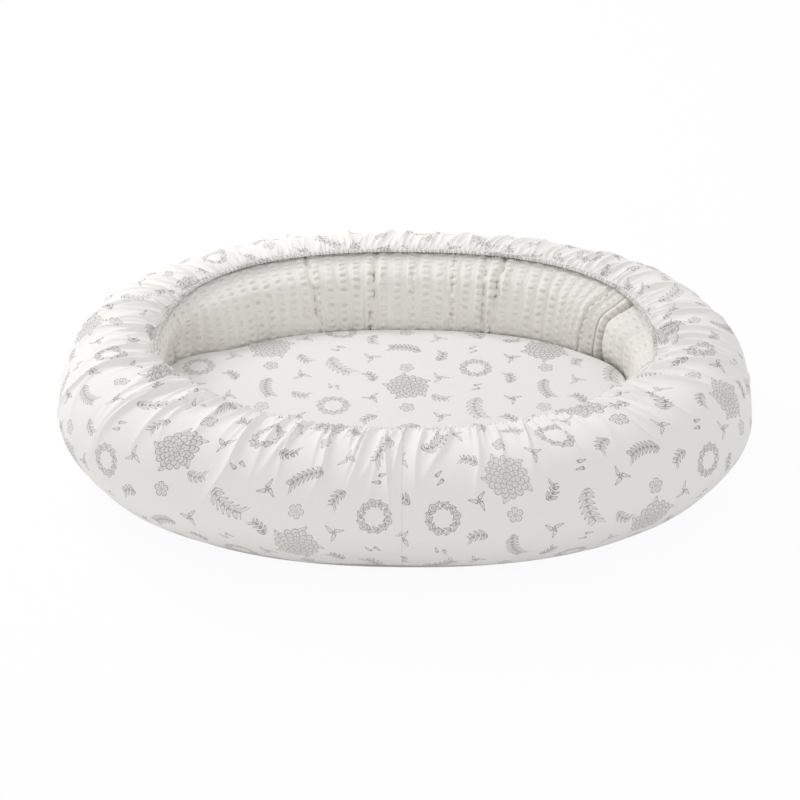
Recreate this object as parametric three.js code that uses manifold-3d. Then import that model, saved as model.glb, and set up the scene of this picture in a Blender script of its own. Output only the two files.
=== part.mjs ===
// Infant lounger, an oval nest for a baby to lie in.
// A fitted cover with an elastic rim holds a long stuffed roll round the edge.
// A mattress pad lies in the middle, in a cover of its own that closes with a zip underneath.
// Millimetres, +Z up, X along the nest. The origin is the middle of the footprint, on the floor.

import * as THREE from 'three';
import { mergeVertices } from 'three/addons/utils/BufferGeometryUtils.js';
import Module from 'manifold-3d';

const wasm = await Module();
wasm.setup();

// The nest as a whole
const nestLength = 900;
const nestWidth = 656;
const nestHeight = 180;
const edgeWidth = 168;              // the padded edge, seen from above
const edgeSink = 3;                 // how much of the round edge is pressed flat on the floor
const planExponent = 2.3;           // 2 gives an ellipse, more a squarer oval
const upperExponent = 2.1;
const lowerExponent = 1.45;         // the edge draws in towards its narrow foot
const swellLeft = 25;               // how far the edge swells inwards at the front corners
const swellRight = 18;
const swellRise = 8;                // and how much higher it stands there
const swellPower = 0.7;
const swellZone = 0.6;              // it is full above this share of the upper half
const pressLeft = 44;               // how far the pad presses the roll outwards at the nest's ends
const pressRight = 12;
const pressStart = 0.25;            // from where on it presses, 0 at the long sides and 1 at the ends
const pressZone = 0.75;
const pressAngle = 50;              // the roll gives way over this angle inside the rim

// Cloth and clearances
const cloth = 1.2;
const baseCloth = 1.5;
const seatGap = 0.3;
const rollEase = 2.4;               // slack of the cover over the roll, between its folds
const padEase = 1.6;                // slack of the pad inside the roll

// The elastic rim, given by where it lies on the round section: 90 is the top, 180 the inner side
const rimAngleBack = 106;
const rimAngleEnd = 125;
const rimAngleFront = 123;
const rimCornerTurn = 5;            // how much further in it lies at the two front corners
const rimShowAngle = 8;              // the roll starts to swell this far inside the rim
const rimBlendAngle = 24;
const innerTurnAngle = 234;         // past this angle the section has come round to its underside
const casingWidth = 9;
const casingHeight = 3.6;
const casingWall = 0.7;

// The main folds of the cover, which run down from the gathered rim
const foldHeight = 9;
const foldRimShare = 0.6;
const foldFootShare = 0.22;
const foldPeakShare = 0.14;
const foldLowShare = 0.7;           // the lowest folds, as a share of the highest
const baseMargin = 0.5;             // how far the base stops short of the side's outer face

// The roll: where its ends meet, measured along the middle line from the right-hand end
const rollJoint = 100;
const rollJointSlant = -0.5;        // the ends lean over each other, this far along for each unit across
const rollSlantZone = 150;
const rollEndRound = 12;
const rollEndGap = 0.6;
const frontEndLength = 118;         // smooth end panel that shows inside the nest
const frontEndRingShare = 0.55;
const backEndLength = 16;
const creaseDepth = 7;
const creaseHalfWidth = 9;
const creaseBackShare = 0.35;       // how deep a crease is on the covered side
const creaseShares = [0.018, 0.139, 0.169, 0.225, 0.276, 0.52, 0.76];

// The mattress pad
const padHeight = 89;
const padCrown = 5;
const padBulge = 8;
const padShoulder = 9;

// The zip under the pad
const zipLength = 300;
const zipRecess = 2.4;              // how far the zip is pressed up into the pad
const zipSlotWidth = 13;
const tapeWidth = 13;
const tapeThickness = 0.8;
const coilWidth = 2.1;
const coilHeight = 1.6;
const coilParting = 1;              // between the two coils, where the slider's neck runs
const sliderLength = 11;
const sliderWidth = 9.4;
const sliderPlate = 0.7;
const sliderPlay = 0.2;
const sliderFlange = 0.7;
const sliderNeck = 0.6;
const bailHeight = 1.6;
const bailWidth = 1.8;
const bailLength = 7;
const bailWire = 0.9;
const stopLength = 3;
const overrun = 1;                  // how far a cutting block passes the face that it cuts

// Counts
const ringSegments = 96;
const coverSteps = 11;
const rollStations = 34;
const rollSides = 12;
const padSideSteps = 3;
const padShoulderSteps = 2;
const padCrownSteps = 4;
const arcSamples = 2880;
const coilSides = 8;
const endRoundPower = 4;            // the higher, the flatter the roll's ends
const mergeTolerance = 1e-4;

// Places worked out from those sizes
const halfEdge = edgeWidth / 2;
const sectionRise = (nestHeight + edgeSink) / 2;
const sectionMiddle = nestHeight - sectionRise;
const centreA = nestLength / 2 - halfEdge;
const centreB = nestWidth / 2 - halfEdge;
const innerFloor = baseCloth + seatGap;
const rimInset = foldHeight * foldRimShare;

const radians = THREE.MathUtils.degToRad;
const mix = THREE.MathUtils.lerp;
const smooth = (value) => THREE.MathUtils.smoothstep(value, 0, 1);

// The oval middle line of the padded edge

function superRadius(angle, exponent) {
  const across = Math.abs(Math.cos(angle)) ** exponent;
  const along = Math.abs(Math.sin(angle)) ** exponent;
  return (across + along) ** (-1 / exponent);
}

function planPoint(angle) {
  const radius = superRadius(angle, planExponent);
  return new THREE.Vector2(centreA * radius * Math.cos(angle), centreB * radius * Math.sin(angle));
}

function planNormal(point) {
  const slope = planExponent - 1;
  const x = Math.sign(point.x) * Math.abs(point.x / centreA) ** slope / centreA;
  const y = Math.sign(point.y) * Math.abs(point.y / centreB) ** slope / centreB;
  return new THREE.Vector2(x, y).normalize();
}

function measureArc() {
  const lengths = [0];
  let last = planPoint(0);
  for (let k = 1; k <= arcSamples; k += 1) {
    const next = planPoint((2 * Math.PI * k) / arcSamples);
    lengths.push(lengths[k - 1] + next.distanceTo(last));
    last = next;
  }
  return lengths;
}

const arcLengths = measureArc();
const perimeter = arcLengths[arcSamples];
const frontSeam = (perimeter * 3) / 4;

// A station is a place on the middle line with its outward direction.
// The distance runs from the right-hand end, over the back, the left-hand end and the front.
function stationAt(distance) {
  const wrapped = THREE.MathUtils.euclideanModulo(distance, perimeter);
  let low = 0;
  let high = arcSamples;
  while (high - low > 1) {
    const middle = Math.floor((low + high) / 2);
    if (arcLengths[middle] > wrapped) high = middle;
    else low = middle;
  }
  const part = (wrapped - arcLengths[low]) / (arcLengths[high] - arcLengths[low]);
  const point = planPoint((2 * Math.PI * (low + part)) / arcSamples);
  const normal = planNormal(point);
  const endShare = normal.x ** 2;
  const corner = normal.y < 0 ? (4 * endShare * (1 - endShare)) ** swellPower : 0;
  const [swell, press] = normal.x < 0 ? [swellLeft, pressLeft] : [swellRight, pressRight];
  const pressed = press * smooth((endShare - pressStart) / pressZone);
  return { point, normal, endShare, corner, swell: swell * corner, press: pressed };
}

// A point beside the middle line. At the front corners the edge's upper half leans inwards.
function place(station, outward, height) {
  const inner = Math.max(0, -outward) / halfEdge;
  const above = Math.max(0, height - sectionMiddle) / sectionRise;
  const swollen = outward - station.swell * inner * smooth(above / swellZone);
  const x = station.point.x + station.normal.x * swollen;
  const y = station.point.y + station.normal.y * swollen;
  return new THREE.Vector3(x, y, height + swellRise * station.corner * above);
}

// The round section of the padded edge, at an angle from the outer side over the top

function sectionPoint(angle, inset, width = halfEdge) {
  const radius = superRadius(angle, Math.sin(angle) < 0 ? lowerExponent : upperExponent);
  const outward = (width - inset) * radius * Math.cos(angle);
  const height = sectionMiddle + (sectionRise - inset) * radius * Math.sin(angle);
  return new THREE.Vector2(outward, height);
}

function sectionAngleAtHeight(height) {
  const share = ((sectionMiddle - height) / sectionRise) ** lowerExponent;
  return -Math.atan((share / (1 - share)) ** (1 / lowerExponent));
}

const footAngle = sectionAngleAtHeight(innerFloor);

// The elastic cuts straight across the front corners, so the rim lies further in there
function rimAngle(station) {
  const side = station.normal.y > 0 ? rimAngleBack : rimAngleFront;
  return radians(mix(side, rimAngleEnd, station.endShare) + rimCornerTurn * station.corner);
}

// Half the roll's width on the inner side, where the pad lies against it
function innerRadius(station) {
  return halfEdge - station.press;
}

// Half the roll's width at an angle. On the outer side and under the rim nothing presses it.
function rollWidth(station, angle) {
  if (Math.cos(angle) > 0) return halfEdge;
  const given = smooth((angle - rimAngle(station)) / radians(pressAngle));
  return mix(halfEdge, innerRadius(station), given);
}

function foldShare(share) {
  const start = mix(foldRimShare, 1, Math.min(1, share / foldPeakShare));
  const fade = mix(1, foldFootShare, smooth((share - foldPeakShare) / (1 - foldPeakShare)));
  return start * fade;
}

// Meshes

function closedGeometry(points, faces) {
  const loose = new THREE.BufferGeometry();
  loose.setFromPoints(points);
  loose.setIndex(faces);
  const merged = mergeVertices(loose, mergeTolerance);
  const index = merged.index.array;
  const kept = [];
  for (let k = 0; k < index.length; k += 3) {
    const [a, b, c] = [index[k], index[k + 1], index[k + 2]];
    if (a !== b && b !== c && c !== a) kept.push(a, b, c);
  }
  merged.setIndex(volumeOf(merged, kept) < 0 ? kept.reverse() : kept);
  return merged;
}

function volumeOf(geometry, index) {
  const corner = [new THREE.Vector3(), new THREE.Vector3(), new THREE.Vector3()];
  let sum = 0;
  for (let k = 0; k < index.length; k += 3) {
    corner.forEach((vector, n) => vector.fromBufferAttribute(geometry.attributes.position, index[k + n]));
    sum += corner[0].dot(corner[1].cross(corner[2])) / 6;
  }
  return sum;
}

// Faces of a grid of rows and columns, either of which may close on itself
function gridFaces(rows, columns, loops, first, turned) {
  const faces = [];
  const at = (i, j) => first + (i % rows) * columns + (j % columns);
  for (let i = 0; i < (loops.rows ? rows : rows - 1); i += 1) {
    for (let j = 0; j < (loops.columns ? columns : columns - 1); j += 1) {
      const one = [at(i, j), at(i + 1, j), at(i + 1, j + 1)];
      const two = [at(i, j), at(i + 1, j + 1), at(i, j + 1)];
      for (const face of [one, two]) faces.push(...(turned ? face.reverse() : face));
    }
  }
  return faces;
}

// A solid bounded by one grid whose first and last rows are single points
function fullSolid(grid) {
  const faces = gridFaces(grid.length, grid[0].length, { columns: true }, 0, false);
  return closedGeometry(grid.flat(), faces);
}

// A skin of cloth between an outer and an inner grid, joined along its free edges
function skinSolid(outer, inner, loops) {
  const rows = outer.length;
  const columns = outer[0].length;
  const under = rows * columns;
  const faces = gridFaces(rows, columns, loops, 0, false);
  faces.push(...gridFaces(rows, columns, loops, under, true));
  const strip = (a, b) => faces.push(a, b, b + under, a, b + under, a + under);
  const at = (i, j) => (i % rows) * columns + (j % columns);
  if (!loops.rows) {
    for (let j = 0; j < (loops.columns ? columns : columns - 1); j += 1) {
      strip(at(0, j), at(0, j + 1));
      strip(at(rows - 1, j + 1), at(rows - 1, j));
    }
  }
  if (!loops.columns) {
    for (let i = 0; i < (loops.rows ? rows : rows - 1); i += 1) {
      strip(at(i + 1, 0), at(i, 0));
      strip(at(i, columns - 1), at(i + 1, columns - 1));
    }
  }
  return closedGeometry([...outer.flat(), ...inner.flat()], faces);
}

function toManifold(geometry) {
  const bare = geometry.clone();
  bare.deleteAttribute('normal');
  bare.deleteAttribute('uv');
  const merged = mergeVertices(bare, mergeTolerance);
  const vertProperties = Float32Array.from(merged.attributes.position.array);
  const triVerts = Uint32Array.from(merged.index.array);
  return new wasm.Manifold(new wasm.Mesh({ numProp: 3, vertProperties, triVerts }));
}

function fromManifold(solid) {
  const mesh = solid.getMesh();
  const geometry = new THREE.BufferGeometry();
  geometry.setAttribute('position', new THREE.BufferAttribute(Float32Array.from(mesh.vertProperties), 3));
  geometry.setIndex(Array.from(mesh.triVerts));
  return geometry;
}

// A block between two corners
function block(low, high) {
  const size = new THREE.Vector3().subVectors(high, low);
  const geometry = new THREE.BoxGeometry(size.x, size.y, size.z);
  const middle = new THREE.Vector3().addVectors(low, high).multiplyScalar(0.5);
  return geometry.translate(middle.x, middle.y, middle.z);
}

function manifoldBlock(x0, x1, y0, y1, z0, z1) {
  return toManifold(block(new THREE.Vector3(x0, y0, z0), new THREE.Vector3(x1, y1, z1)));
}

function plate(outline, bottom, thickness) {
  const shape = new THREE.Shape(outline.map((point) => new THREE.Vector2(point.x, point.y)));
  const geometry = new THREE.ExtrudeGeometry(shape, { depth: thickness, bevelEnabled: false });
  return geometry.translate(0, 0, bottom);
}

function ovalOutline(outward, count) {
  const outline = [];
  for (let k = 0; k < count; k += 1) {
    outline.push(place(stationAt((perimeter * k) / count), outward, 0));
  }
  return outline;
}

function finish(colour, roughness, metalness = 0) {
  return new THREE.MeshStandardMaterial({ color: colour, roughness, metalness });
}

const lounger = new THREE.Group();

function addPart(parent, name, geometry, material) {
  geometry.computeVertexNormals();
  const mesh = new THREE.Mesh(geometry, material);
  mesh.name = name;
  parent.add(mesh);
}

// The outer cover: two gathered side panels that meet in seams at the front and the back

function coverPoint(distance, step, lifted, depth) {
  const station = stationAt(distance);
  const share = step / coverSteps;
  const rimEdge = rimAngle(station) - (casingWidth / 2 + seatGap) / (halfEdge - rimInset);
  const fold = foldHeight * foldShare(share);
  const point = sectionPoint(mix(rimEdge, footAngle, share), fold * (1 - lifted) + depth);
  return place(station, point.x, Math.max(point.y, innerFloor));
}

// Every other station lifts into a fold, some of them higher than others
function foldLift(segment) {
  if (segment % 2 === 0) return 0;
  return mix(foldLowShare, 1, (1 + Math.sin(segment * segment)) / 2);
}

function coverPanel(start) {
  const segments = ringSegments / 2;
  const outer = [];
  const inner = [];
  for (let i = 0; i <= segments; i += 1) {
    const inside = i === 0 ? seatGap / 2 : i === segments ? -seatGap / 2 : 0;
    const distance = start + (perimeter * i) / ringSegments + inside;
    const steps = [...Array(coverSteps + 1).keys()];
    outer.push(steps.map((step) => coverPoint(distance, step, foldLift(i), 0)));
    inner.push(steps.map((step) => coverPoint(distance, step, foldLift(i), cloth)));
  }
  return skinSolid(outer, inner, {});
}

function coverBase() {
  const foot = sectionPoint(footAngle, 0);
  return plate(ovalOutline(foot.x - baseMargin, ringSegments), 0, baseCloth);
}

// The rim: a hem folded over the elastic, open along the line where it is sewn to the panels

function rimFrame(station) {
  const angle = rimAngle(station);
  const middle = sectionPoint(angle, rimInset);
  const ahead = sectionPoint(angle + radians(1), rimInset);
  const inward = new THREE.Vector2().subVectors(ahead, middle).normalize();
  const lift = new THREE.Vector2(inward.y, -inward.x);
  return { middle, inward, lift };
}

function rimSweep(profile) {
  const grid = [];
  for (let k = 0; k < ringSegments; k += 1) {
    const station = stationAt((perimeter * k) / ringSegments);
    const { middle, inward, lift } = rimFrame(station);
    const ring = profile.map(([along, up]) => {
      const outward = middle.x + inward.x * along + lift.x * up;
      return place(station, outward, middle.y + inward.y * along + lift.y * up);
    });
    grid.push(ring);
  }
  const faces = gridFaces(ringSegments, profile.length, { rows: true, columns: true }, 0, false);
  return closedGeometry(grid.flat(), faces);
}

function rimCasing() {
  const end = casingWidth / 2;
  const top = casingHeight / 2;
  const bore = top - casingWall;
  const outside = [[-end, top], [end, top], [end, -top], [-end, -top]];
  const inside = [[-end, -bore], [end - casingWall, -bore], [end - casingWall, bore], [-end, bore]];
  return rimSweep([...outside, ...inside]);
}

function rimElastic() {
  const end = casingWidth / 2;
  const top = casingHeight / 2 - casingWall - seatGap;
  const inner = end - casingWall - seatGap;
  return rimSweep([[-end + seatGap, top], [inner, top], [inner, -top], [-end + seatGap, -top]]);
}

// The roll, a long stuffed tube whose ends lie against each other at the right-hand side

const rollStart = rollJoint + rollEndGap / 2;
const rollLength = perimeter - rollEndGap;
const slantStretch = Math.hypot(1, rollJointSlant);

function creaseAt(distance) {
  const pinch = creaseShares.map((share) => {
    const away = (distance - share * rollLength) / creaseHalfWidth;
    return Math.exp(-away * away);
  });
  return creaseDepth * Math.max(...pinch);
}

// How far the roll lies under the cover's outer surface, and nothing where it shows
function rollCover(station, angle) {
  const rim = rimAngle(station);
  const turned = angle > radians(innerTurnAngle) ? angle - 2 * Math.PI : angle;
  const share = THREE.MathUtils.clamp((rim - turned) / (rim - footAngle), 0, 1);
  const covered = foldHeight * foldShare(share) + cloth + seatGap + rollEase;
  return covered * (1 - smooth((turned - rim - radians(rimShowAngle)) / radians(rimBlendAngle)));
}

// One ring of the roll, at a distance from its back end, drawn in towards an end by a share
function rollRing(distance, depth, fullShare = 1) {
  const toEnd = Math.min(distance, rollLength - distance);
  const slant = rollJointSlant * (1 - smooth(toEnd / rollSlantZone));
  const ring = [];
  for (let k = 0; k < rollSides; k += 1) {
    const angle = (2 * Math.PI * k) / rollSides;
    const station = stationAt(rollStart + distance);
    const showing = mix(creaseBackShare, 1, Math.max(0, -Math.cos(angle)));
    const inset = rollCover(station, angle) + creaseAt(distance) * showing + depth;
    const point = sectionPoint(angle, inset, rollWidth(station, angle));
    const height = Math.max(point.y, innerFloor + depth);
    const outward = point.x * fullShare;
    const shifted = stationAt(rollStart + distance + slant * outward);
    ring.push(place(shifted, outward, mix(sectionMiddle, height, fullShare)));
  }
  return ring;
}

// An end is drawn in over its last few millimetres, from the full section to one point
const endRoundShares = [1, 0.97, 0.84, 0.5, 0];

function roundedEnd(depth, atFront) {
  const rings = endRoundShares.map((share) => {
    const fullness = Math.sqrt(1 - share ** endRoundPower);
    const reach = rollEndRound * (1 - fullness) + depth * slantStretch * fullness;
    const distance = atFront ? rollLength - reach : reach;
    return rollRing(distance, depth, share);
  });
  return atFront ? rings : rings.reverse();
}

function tubeDistances() {
  const low = backEndLength;
  const high = rollLength - frontEndLength;
  const distances = new Set([low, high]);
  const pinched = [];
  for (const share of creaseShares) {
    const middle = share * rollLength;
    pinched.push(middle - creaseHalfWidth, middle, middle + creaseHalfWidth);
  }
  for (let k = 1; k < rollStations; k += 1) {
    const even = mix(low, high, k / rollStations);
    const near = Math.min(...pinched.map((spot) => Math.abs(spot - even)));
    if (near > creaseHalfWidth * 2) distances.add(even);
  }
  pinched.filter((spot) => spot > low && spot < high).forEach((spot) => distances.add(spot));
  return [...distances].sort((a, b) => a - b);
}

const frontEndDistances = [
  rollLength - frontEndLength + seatGap,
  rollLength - frontEndLength * frontEndRingShare,
];

function rollTube() {
  const distances = tubeDistances();
  const outer = distances.map((distance) => rollRing(distance, 0));
  const inner = distances.map((distance) => rollRing(distance, cloth));
  return skinSolid(outer, inner, { columns: true });
}

function rollEndPanel(atFront) {
  const straight = atFront ? frontEndDistances : [backEndLength - seatGap];
  const layer = (depth) => {
    const rings = straight.map((distance) => rollRing(distance, depth));
    const round = roundedEnd(depth, atFront);
    return atFront ? [...rings, ...round] : [...round, ...rings];
  };
  return capSolid(layer(0), layer(cloth), atFront);
}

// A domed skin: the grid's last row, or its first, is one point
function capSolid(outer, inner, poleLast) {
  const rows = outer.length;
  const columns = outer[0].length;
  const under = rows * columns;
  const faces = gridFaces(rows, columns, { columns: true }, 0, false);
  faces.push(...gridFaces(rows, columns, { columns: true }, under, true));
  const edge = poleLast ? 0 : rows - 1;
  for (let j = 0; j < columns; j += 1) {
    const a = edge * columns + j;
    const b = edge * columns + ((j + 1) % columns);
    const pair = poleLast ? [a, b] : [b, a];
    faces.push(pair[0], pair[1], pair[1] + under, pair[0], pair[1] + under, pair[0] + under);
  }
  return closedGeometry([...outer.flat(), ...inner.flat()], faces);
}

function rollFilling() {
  const depth = cloth + seatGap;
  const middle = [...tubeDistances(), ...frontEndDistances].map((distance) => rollRing(distance, depth));
  return fullSolid([...roundedEnd(depth, false), ...middle, ...roundedEnd(depth, true)]);
}

// The mattress pad, crowned on top and pressed in at its shoulders by the roll

const padBottom = innerFloor;
const padFloor = padBottom + cloth + seatGap;

// The pad's side is cut at the same places along the nest as the roll that it lies against
const padPlaces = [0, ...tubeDistances(), ...frontEndDistances];
const padStations = padPlaces.map((distance) => stationAt(rollStart + distance));

function padPoint(station, inset, height) {
  return place(station, -innerRadius(station) - padEase - inset, height);
}

function padProfile(depth) {
  const rows = [];
  const straight = padHeight - padShoulder;
  for (let k = 0; k <= padSideSteps; k += 1) {
    const share = k / padSideSteps;
    const inset = depth - padBulge * Math.sin(Math.PI * share);
    rows.push([inset, mix(padFloor, padBottom + straight, share)]);
  }
  for (let k = 1; k <= padShoulderSteps; k += 1) {
    const turn = (Math.PI / 2) * (k / padShoulderSteps);
    const inset = padShoulder * (1 - Math.cos(turn)) + depth * Math.cos(turn);
    rows.push([inset, padBottom + straight + (padShoulder - depth) * Math.sin(turn)]);
  }
  return rows;
}

function padGrid(depth) {
  const profile = padProfile(depth);
  const grid = profile.map(([inset, height]) => (
    padStations.map((station) => padPoint(station, inset, height))
  ));
  const [edgeInset, edgeHeight] = profile[profile.length - 1];
  for (let k = padCrownSteps - 1; k >= 0; k -= 1) {
    const share = k / padCrownSteps;
    const height = edgeHeight + padCrown * (1 - share * share);
    grid.push(padStations.map((station) => {
      const edge = padPoint(station, edgeInset, edgeHeight);
      return new THREE.Vector3(edge.x * share, edge.y * share, height);
    }));
  }
  return grid;
}

function padTopCover() {
  return capSolid(padGrid(0), padGrid(cloth), true);
}

// The zip runs along the middle of the pad's underside, pressed up a little into the foam

const recessHalf = zipSlotWidth / 2 + tapeWidth;
const recessEnd = zipLength / 2 + tapeWidth;
const facingBottom = padBottom + zipRecess;
const tapeBottom = facingBottom + cloth + seatGap;
const tapeMiddle = tapeBottom + tapeThickness / 2;
const tapeInner = coilParting / 2 + coilWidth + seatGap;
const tapeOuter = tapeInner + tapeWidth;
const coilTop = tapeMiddle + coilHeight / 2;
const coilBottom = tapeMiddle - coilHeight / 2;
const sliderTop = coilTop + sliderPlay + sliderPlate;
const sliderBottom = coilBottom - sliderPlay - sliderPlate;

function padBaseCover() {
  const outline = padStations.map((station) => padPoint(station, 0, 0));
  const base = plate(outline, padBottom, cloth);
  const wall = recessHalf + cloth;
  const end = recessEnd + cloth;
  const tray = manifoldBlock(-end, end, -wall, wall, padBottom, facingBottom + cloth);
  const hollowBottom = padBottom - overrun;
  const hollow = manifoldBlock(-recessEnd, recessEnd, -recessHalf, recessHalf, hollowBottom, facingBottom);
  const half = zipSlotWidth / 2;
  const slotEnd = zipLength / 2 + half;
  const slot = manifoldBlock(-slotEnd, slotEnd, -half, half, padBottom, facingBottom + cloth + overrun);
  return fromManifold(toManifold(base).add(tray).subtract(hollow).subtract(slot));
}

function padFoam() {
  const depth = cloth + seatGap;
  const grid = padGrid(depth);
  const floor = grid[0].map((point) => new THREE.Vector3(0, 0, point.z));
  const block = toManifold(fullSolid([floor, ...grid]));
  const wall = recessHalf + cloth + seatGap;
  const end = recessEnd + cloth + seatGap;
  const trayTop = facingBottom + cloth + seatGap;
  const tray = manifoldBlock(-end, end, -wall, wall, padFloor - overrun, trayTop);
  const tapeTop = tapeBottom + tapeThickness + seatGap;
  const tapeEnd = zipLength / 2 + tapeWidth / 2 + seatGap;
  const tapeSide = tapeOuter + seatGap;
  const tapeRoom = manifoldBlock(-tapeEnd, tapeEnd, -tapeSide, tapeSide, trayTop - overrun, tapeTop);
  const side = sliderWidth / 2 + seatGap;
  const slideRoom = manifoldBlock(-tapeEnd, tapeEnd, -side, side, trayTop - overrun, sliderTop + seatGap);
  return fromManifold(block.subtract(tray).subtract(tapeRoom).subtract(slideRoom));
}

function zipTape(side) {
  const end = zipLength / 2 + tapeWidth / 2;
  const near = new THREE.Vector3(-end, side > 0 ? tapeInner : -tapeOuter, tapeBottom);
  const far = new THREE.Vector3(end, side > 0 ? tapeOuter : -tapeInner, tapeBottom + tapeThickness);
  return block(near, far);
}

function zipCoil(side) {
  const radius = coilWidth / 2;
  const coil = new THREE.CylinderGeometry(radius, radius, zipLength, coilSides);
  coil.scale(1, 1, coilHeight / coilWidth);
  coil.rotateZ(Math.PI / 2);
  return coil.translate(0, side * (coilParting / 2 + radius), tapeMiddle);
}

// The slider has two plates joined by a neck between the coils, with low flanges along its sides
function zipSlider() {
  const half = sliderLength / 2;
  const side = sliderWidth / 2;
  const lowTop = sliderBottom + sliderPlate;
  const highBottom = sliderTop - sliderPlate;
  const lowPlate = manifoldBlock(-half, half, -side, side, sliderBottom, lowTop);
  const highPlate = manifoldBlock(-half, half, -side, side, highBottom, sliderTop);
  const neck = manifoldBlock(0, half, -sliderNeck / 2, sliderNeck / 2, sliderBottom, sliderTop);
  let body = lowPlate.add(highPlate).add(neck);
  for (const edge of [-side, side - sliderFlange]) {
    const lowFlange = [sliderBottom, tapeBottom - sliderPlay];
    const highFlange = [tapeBottom + tapeThickness + sliderPlay, sliderTop];
    for (const [bottom, top] of [lowFlange, highFlange]) {
      body = body.add(manifoldBlock(-half, half, edge, edge + sliderFlange, bottom, top));
    }
  }
  const reach = bailLength / 2;
  const bailBottom = sliderBottom - bailHeight;
  const bail = manifoldBlock(-reach, reach, -bailWidth / 2, bailWidth / 2, bailBottom, sliderBottom);
  const eye = reach - bailWire;
  const hole = manifoldBlock(-eye, eye, -bailWidth, bailWidth, bailBottom + bailWire, sliderBottom);
  return fromManifold(body.add(bail.subtract(hole)));
}

// A stop is a small clip round both coils, at an end of the zip
function zipStop() {
  const side = coilParting / 2 + coilWidth;
  const half = stopLength / 2;
  const [innerBottom, innerTop] = [coilBottom - seatGap, coilTop + seatGap];
  const [bottom, top] = [innerBottom - sliderPlate, innerTop + sliderPlate];
  const outside = manifoldBlock(-half, half, -side, side, bottom, top);
  const [past, wide] = [half + overrun, side + overrun];
  const hollow = manifoldBlock(-past, past, -wide, wide, innerBottom, innerTop);
  const neck = manifoldBlock(-half, half, -sliderNeck / 2, sliderNeck / 2, bottom, top);
  return fromManifold(outside.subtract(hollow).add(neck));
}

// Finishes

const printedCotton = finish(0xf4f2f0, 0.9);
const plainCotton = finish(0xf0eeeb, 0.92);
const crinkleCotton = finish(0xe9e6e1, 0.95);
const elasticWeave = finish(0xf2f0ee, 0.8);
const fibreFilling = finish(0xfafafa, 1);
const foam = finish(0xf3efdf, 1);
const tapeWeave = finish(0xf1efec, 0.85);
const nylonCoil = finish(0xeeece8, 0.5);
const nickel = finish(0xc8c8c6, 0.35, 1);

const cover = new THREE.Group();
lounger.add(cover);
addPart(cover, 'cover_right_panel', coverPanel(frontSeam), printedCotton);
addPart(cover, 'cover_left_panel', coverPanel(frontSeam - perimeter / 2), printedCotton);
addPart(cover, 'cover_base', coverBase(), plainCotton);
addPart(cover, 'rim_casing', rimCasing(), printedCotton);
addPart(cover, 'rim_elastic', rimElastic(), elasticWeave);

const roll = new THREE.Group();
lounger.add(roll);
addPart(roll, 'roll_filling', rollFilling(), fibreFilling);
addPart(roll, 'roll_cover', rollTube(), crinkleCotton);
addPart(roll, 'roll_end_front', rollEndPanel(true), crinkleCotton);
addPart(roll, 'roll_end_back', rollEndPanel(false), crinkleCotton);

const pad = new THREE.Group();
lounger.add(pad);
addPart(pad, 'pad_foam', padFoam(), foam);
addPart(pad, 'pad_cover_top', padTopCover(), printedCotton);
addPart(pad, 'pad_cover_base', padBaseCover(), plainCotton);

const zip = new THREE.Group();
pad.add(zip);
addPart(zip, 'zip_tape_front', zipTape(-1), tapeWeave);
addPart(zip, 'zip_tape_back', zipTape(1), tapeWeave);
addPart(zip, 'zip_coil_front', zipCoil(-1), nylonCoil);
addPart(zip, 'zip_coil_back', zipCoil(1), nylonCoil);

const slider = new THREE.Group();
slider.position.x = zipLength / 2 - stopLength - sliderLength / 2 - seatGap;
zip.add(slider);
addPart(slider, 'zip_slider', zipSlider(), nickel);

for (const [name, side] of [['zip_stop_right', 1], ['zip_stop_left', -1]]) {
  const stop = new THREE.Group();
  stop.position.x = side * (zipLength / 2 - stopLength / 2);
  zip.add(stop);
  addPart(stop, name, zipStop(), nickel);
}

export default lounger;
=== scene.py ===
"""Dresses an oval baby nest: gathered printed cover, crinkled roll, mattress pad and zip."""

import math

import bmesh
import bpy
import numpy as np
from bpy.props import FloatProperty, FloatVectorProperty, IntProperty, PointerProperty
from bpy.types import Operator, Panel, PropertyGroup
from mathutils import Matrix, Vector


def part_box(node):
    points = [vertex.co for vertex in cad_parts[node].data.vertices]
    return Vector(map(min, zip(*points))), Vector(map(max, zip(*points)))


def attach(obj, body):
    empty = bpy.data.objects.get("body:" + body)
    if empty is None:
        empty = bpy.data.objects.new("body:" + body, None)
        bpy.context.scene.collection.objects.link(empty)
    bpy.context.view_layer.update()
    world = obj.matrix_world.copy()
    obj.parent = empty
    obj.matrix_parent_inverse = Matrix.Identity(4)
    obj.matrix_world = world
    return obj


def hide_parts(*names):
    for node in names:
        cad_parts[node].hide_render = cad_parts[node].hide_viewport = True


bl_info = {
    "name": "Baby Nest",
    "version": (1, 0, 0),
    "blender": (4, 5, 0),
    "location": "View3D > Sidebar > Baby Nest",
    "description": "Builds the soft parts of a baby nest round its fixed frame",
    "category": "Object",
}

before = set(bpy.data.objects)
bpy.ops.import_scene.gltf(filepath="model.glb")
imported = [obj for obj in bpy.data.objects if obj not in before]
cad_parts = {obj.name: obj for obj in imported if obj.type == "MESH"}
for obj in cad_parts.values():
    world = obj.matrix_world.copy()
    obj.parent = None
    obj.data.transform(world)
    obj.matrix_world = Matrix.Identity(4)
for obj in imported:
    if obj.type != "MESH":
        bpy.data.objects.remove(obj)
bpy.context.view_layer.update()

MM = 0.001
NEST = "nest"
MATH = "ShaderNodeMath"
VECTOR_MATH = "ShaderNodeVectorMath"
WHITE = (1.0, 1.0, 1.0, 1.0)
TINY = 1e-12

# The padded edge, a round section carried along an oval
PLAN_EXPONENT = 2.3
UPPER_EXPONENT = 2.1
LOWER_EXPONENT = 1.45
EDGE_SINK = 3 * MM
FOOT_HEIGHT = 1.8 * MM
ARC_SAMPLES = 2880

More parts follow.
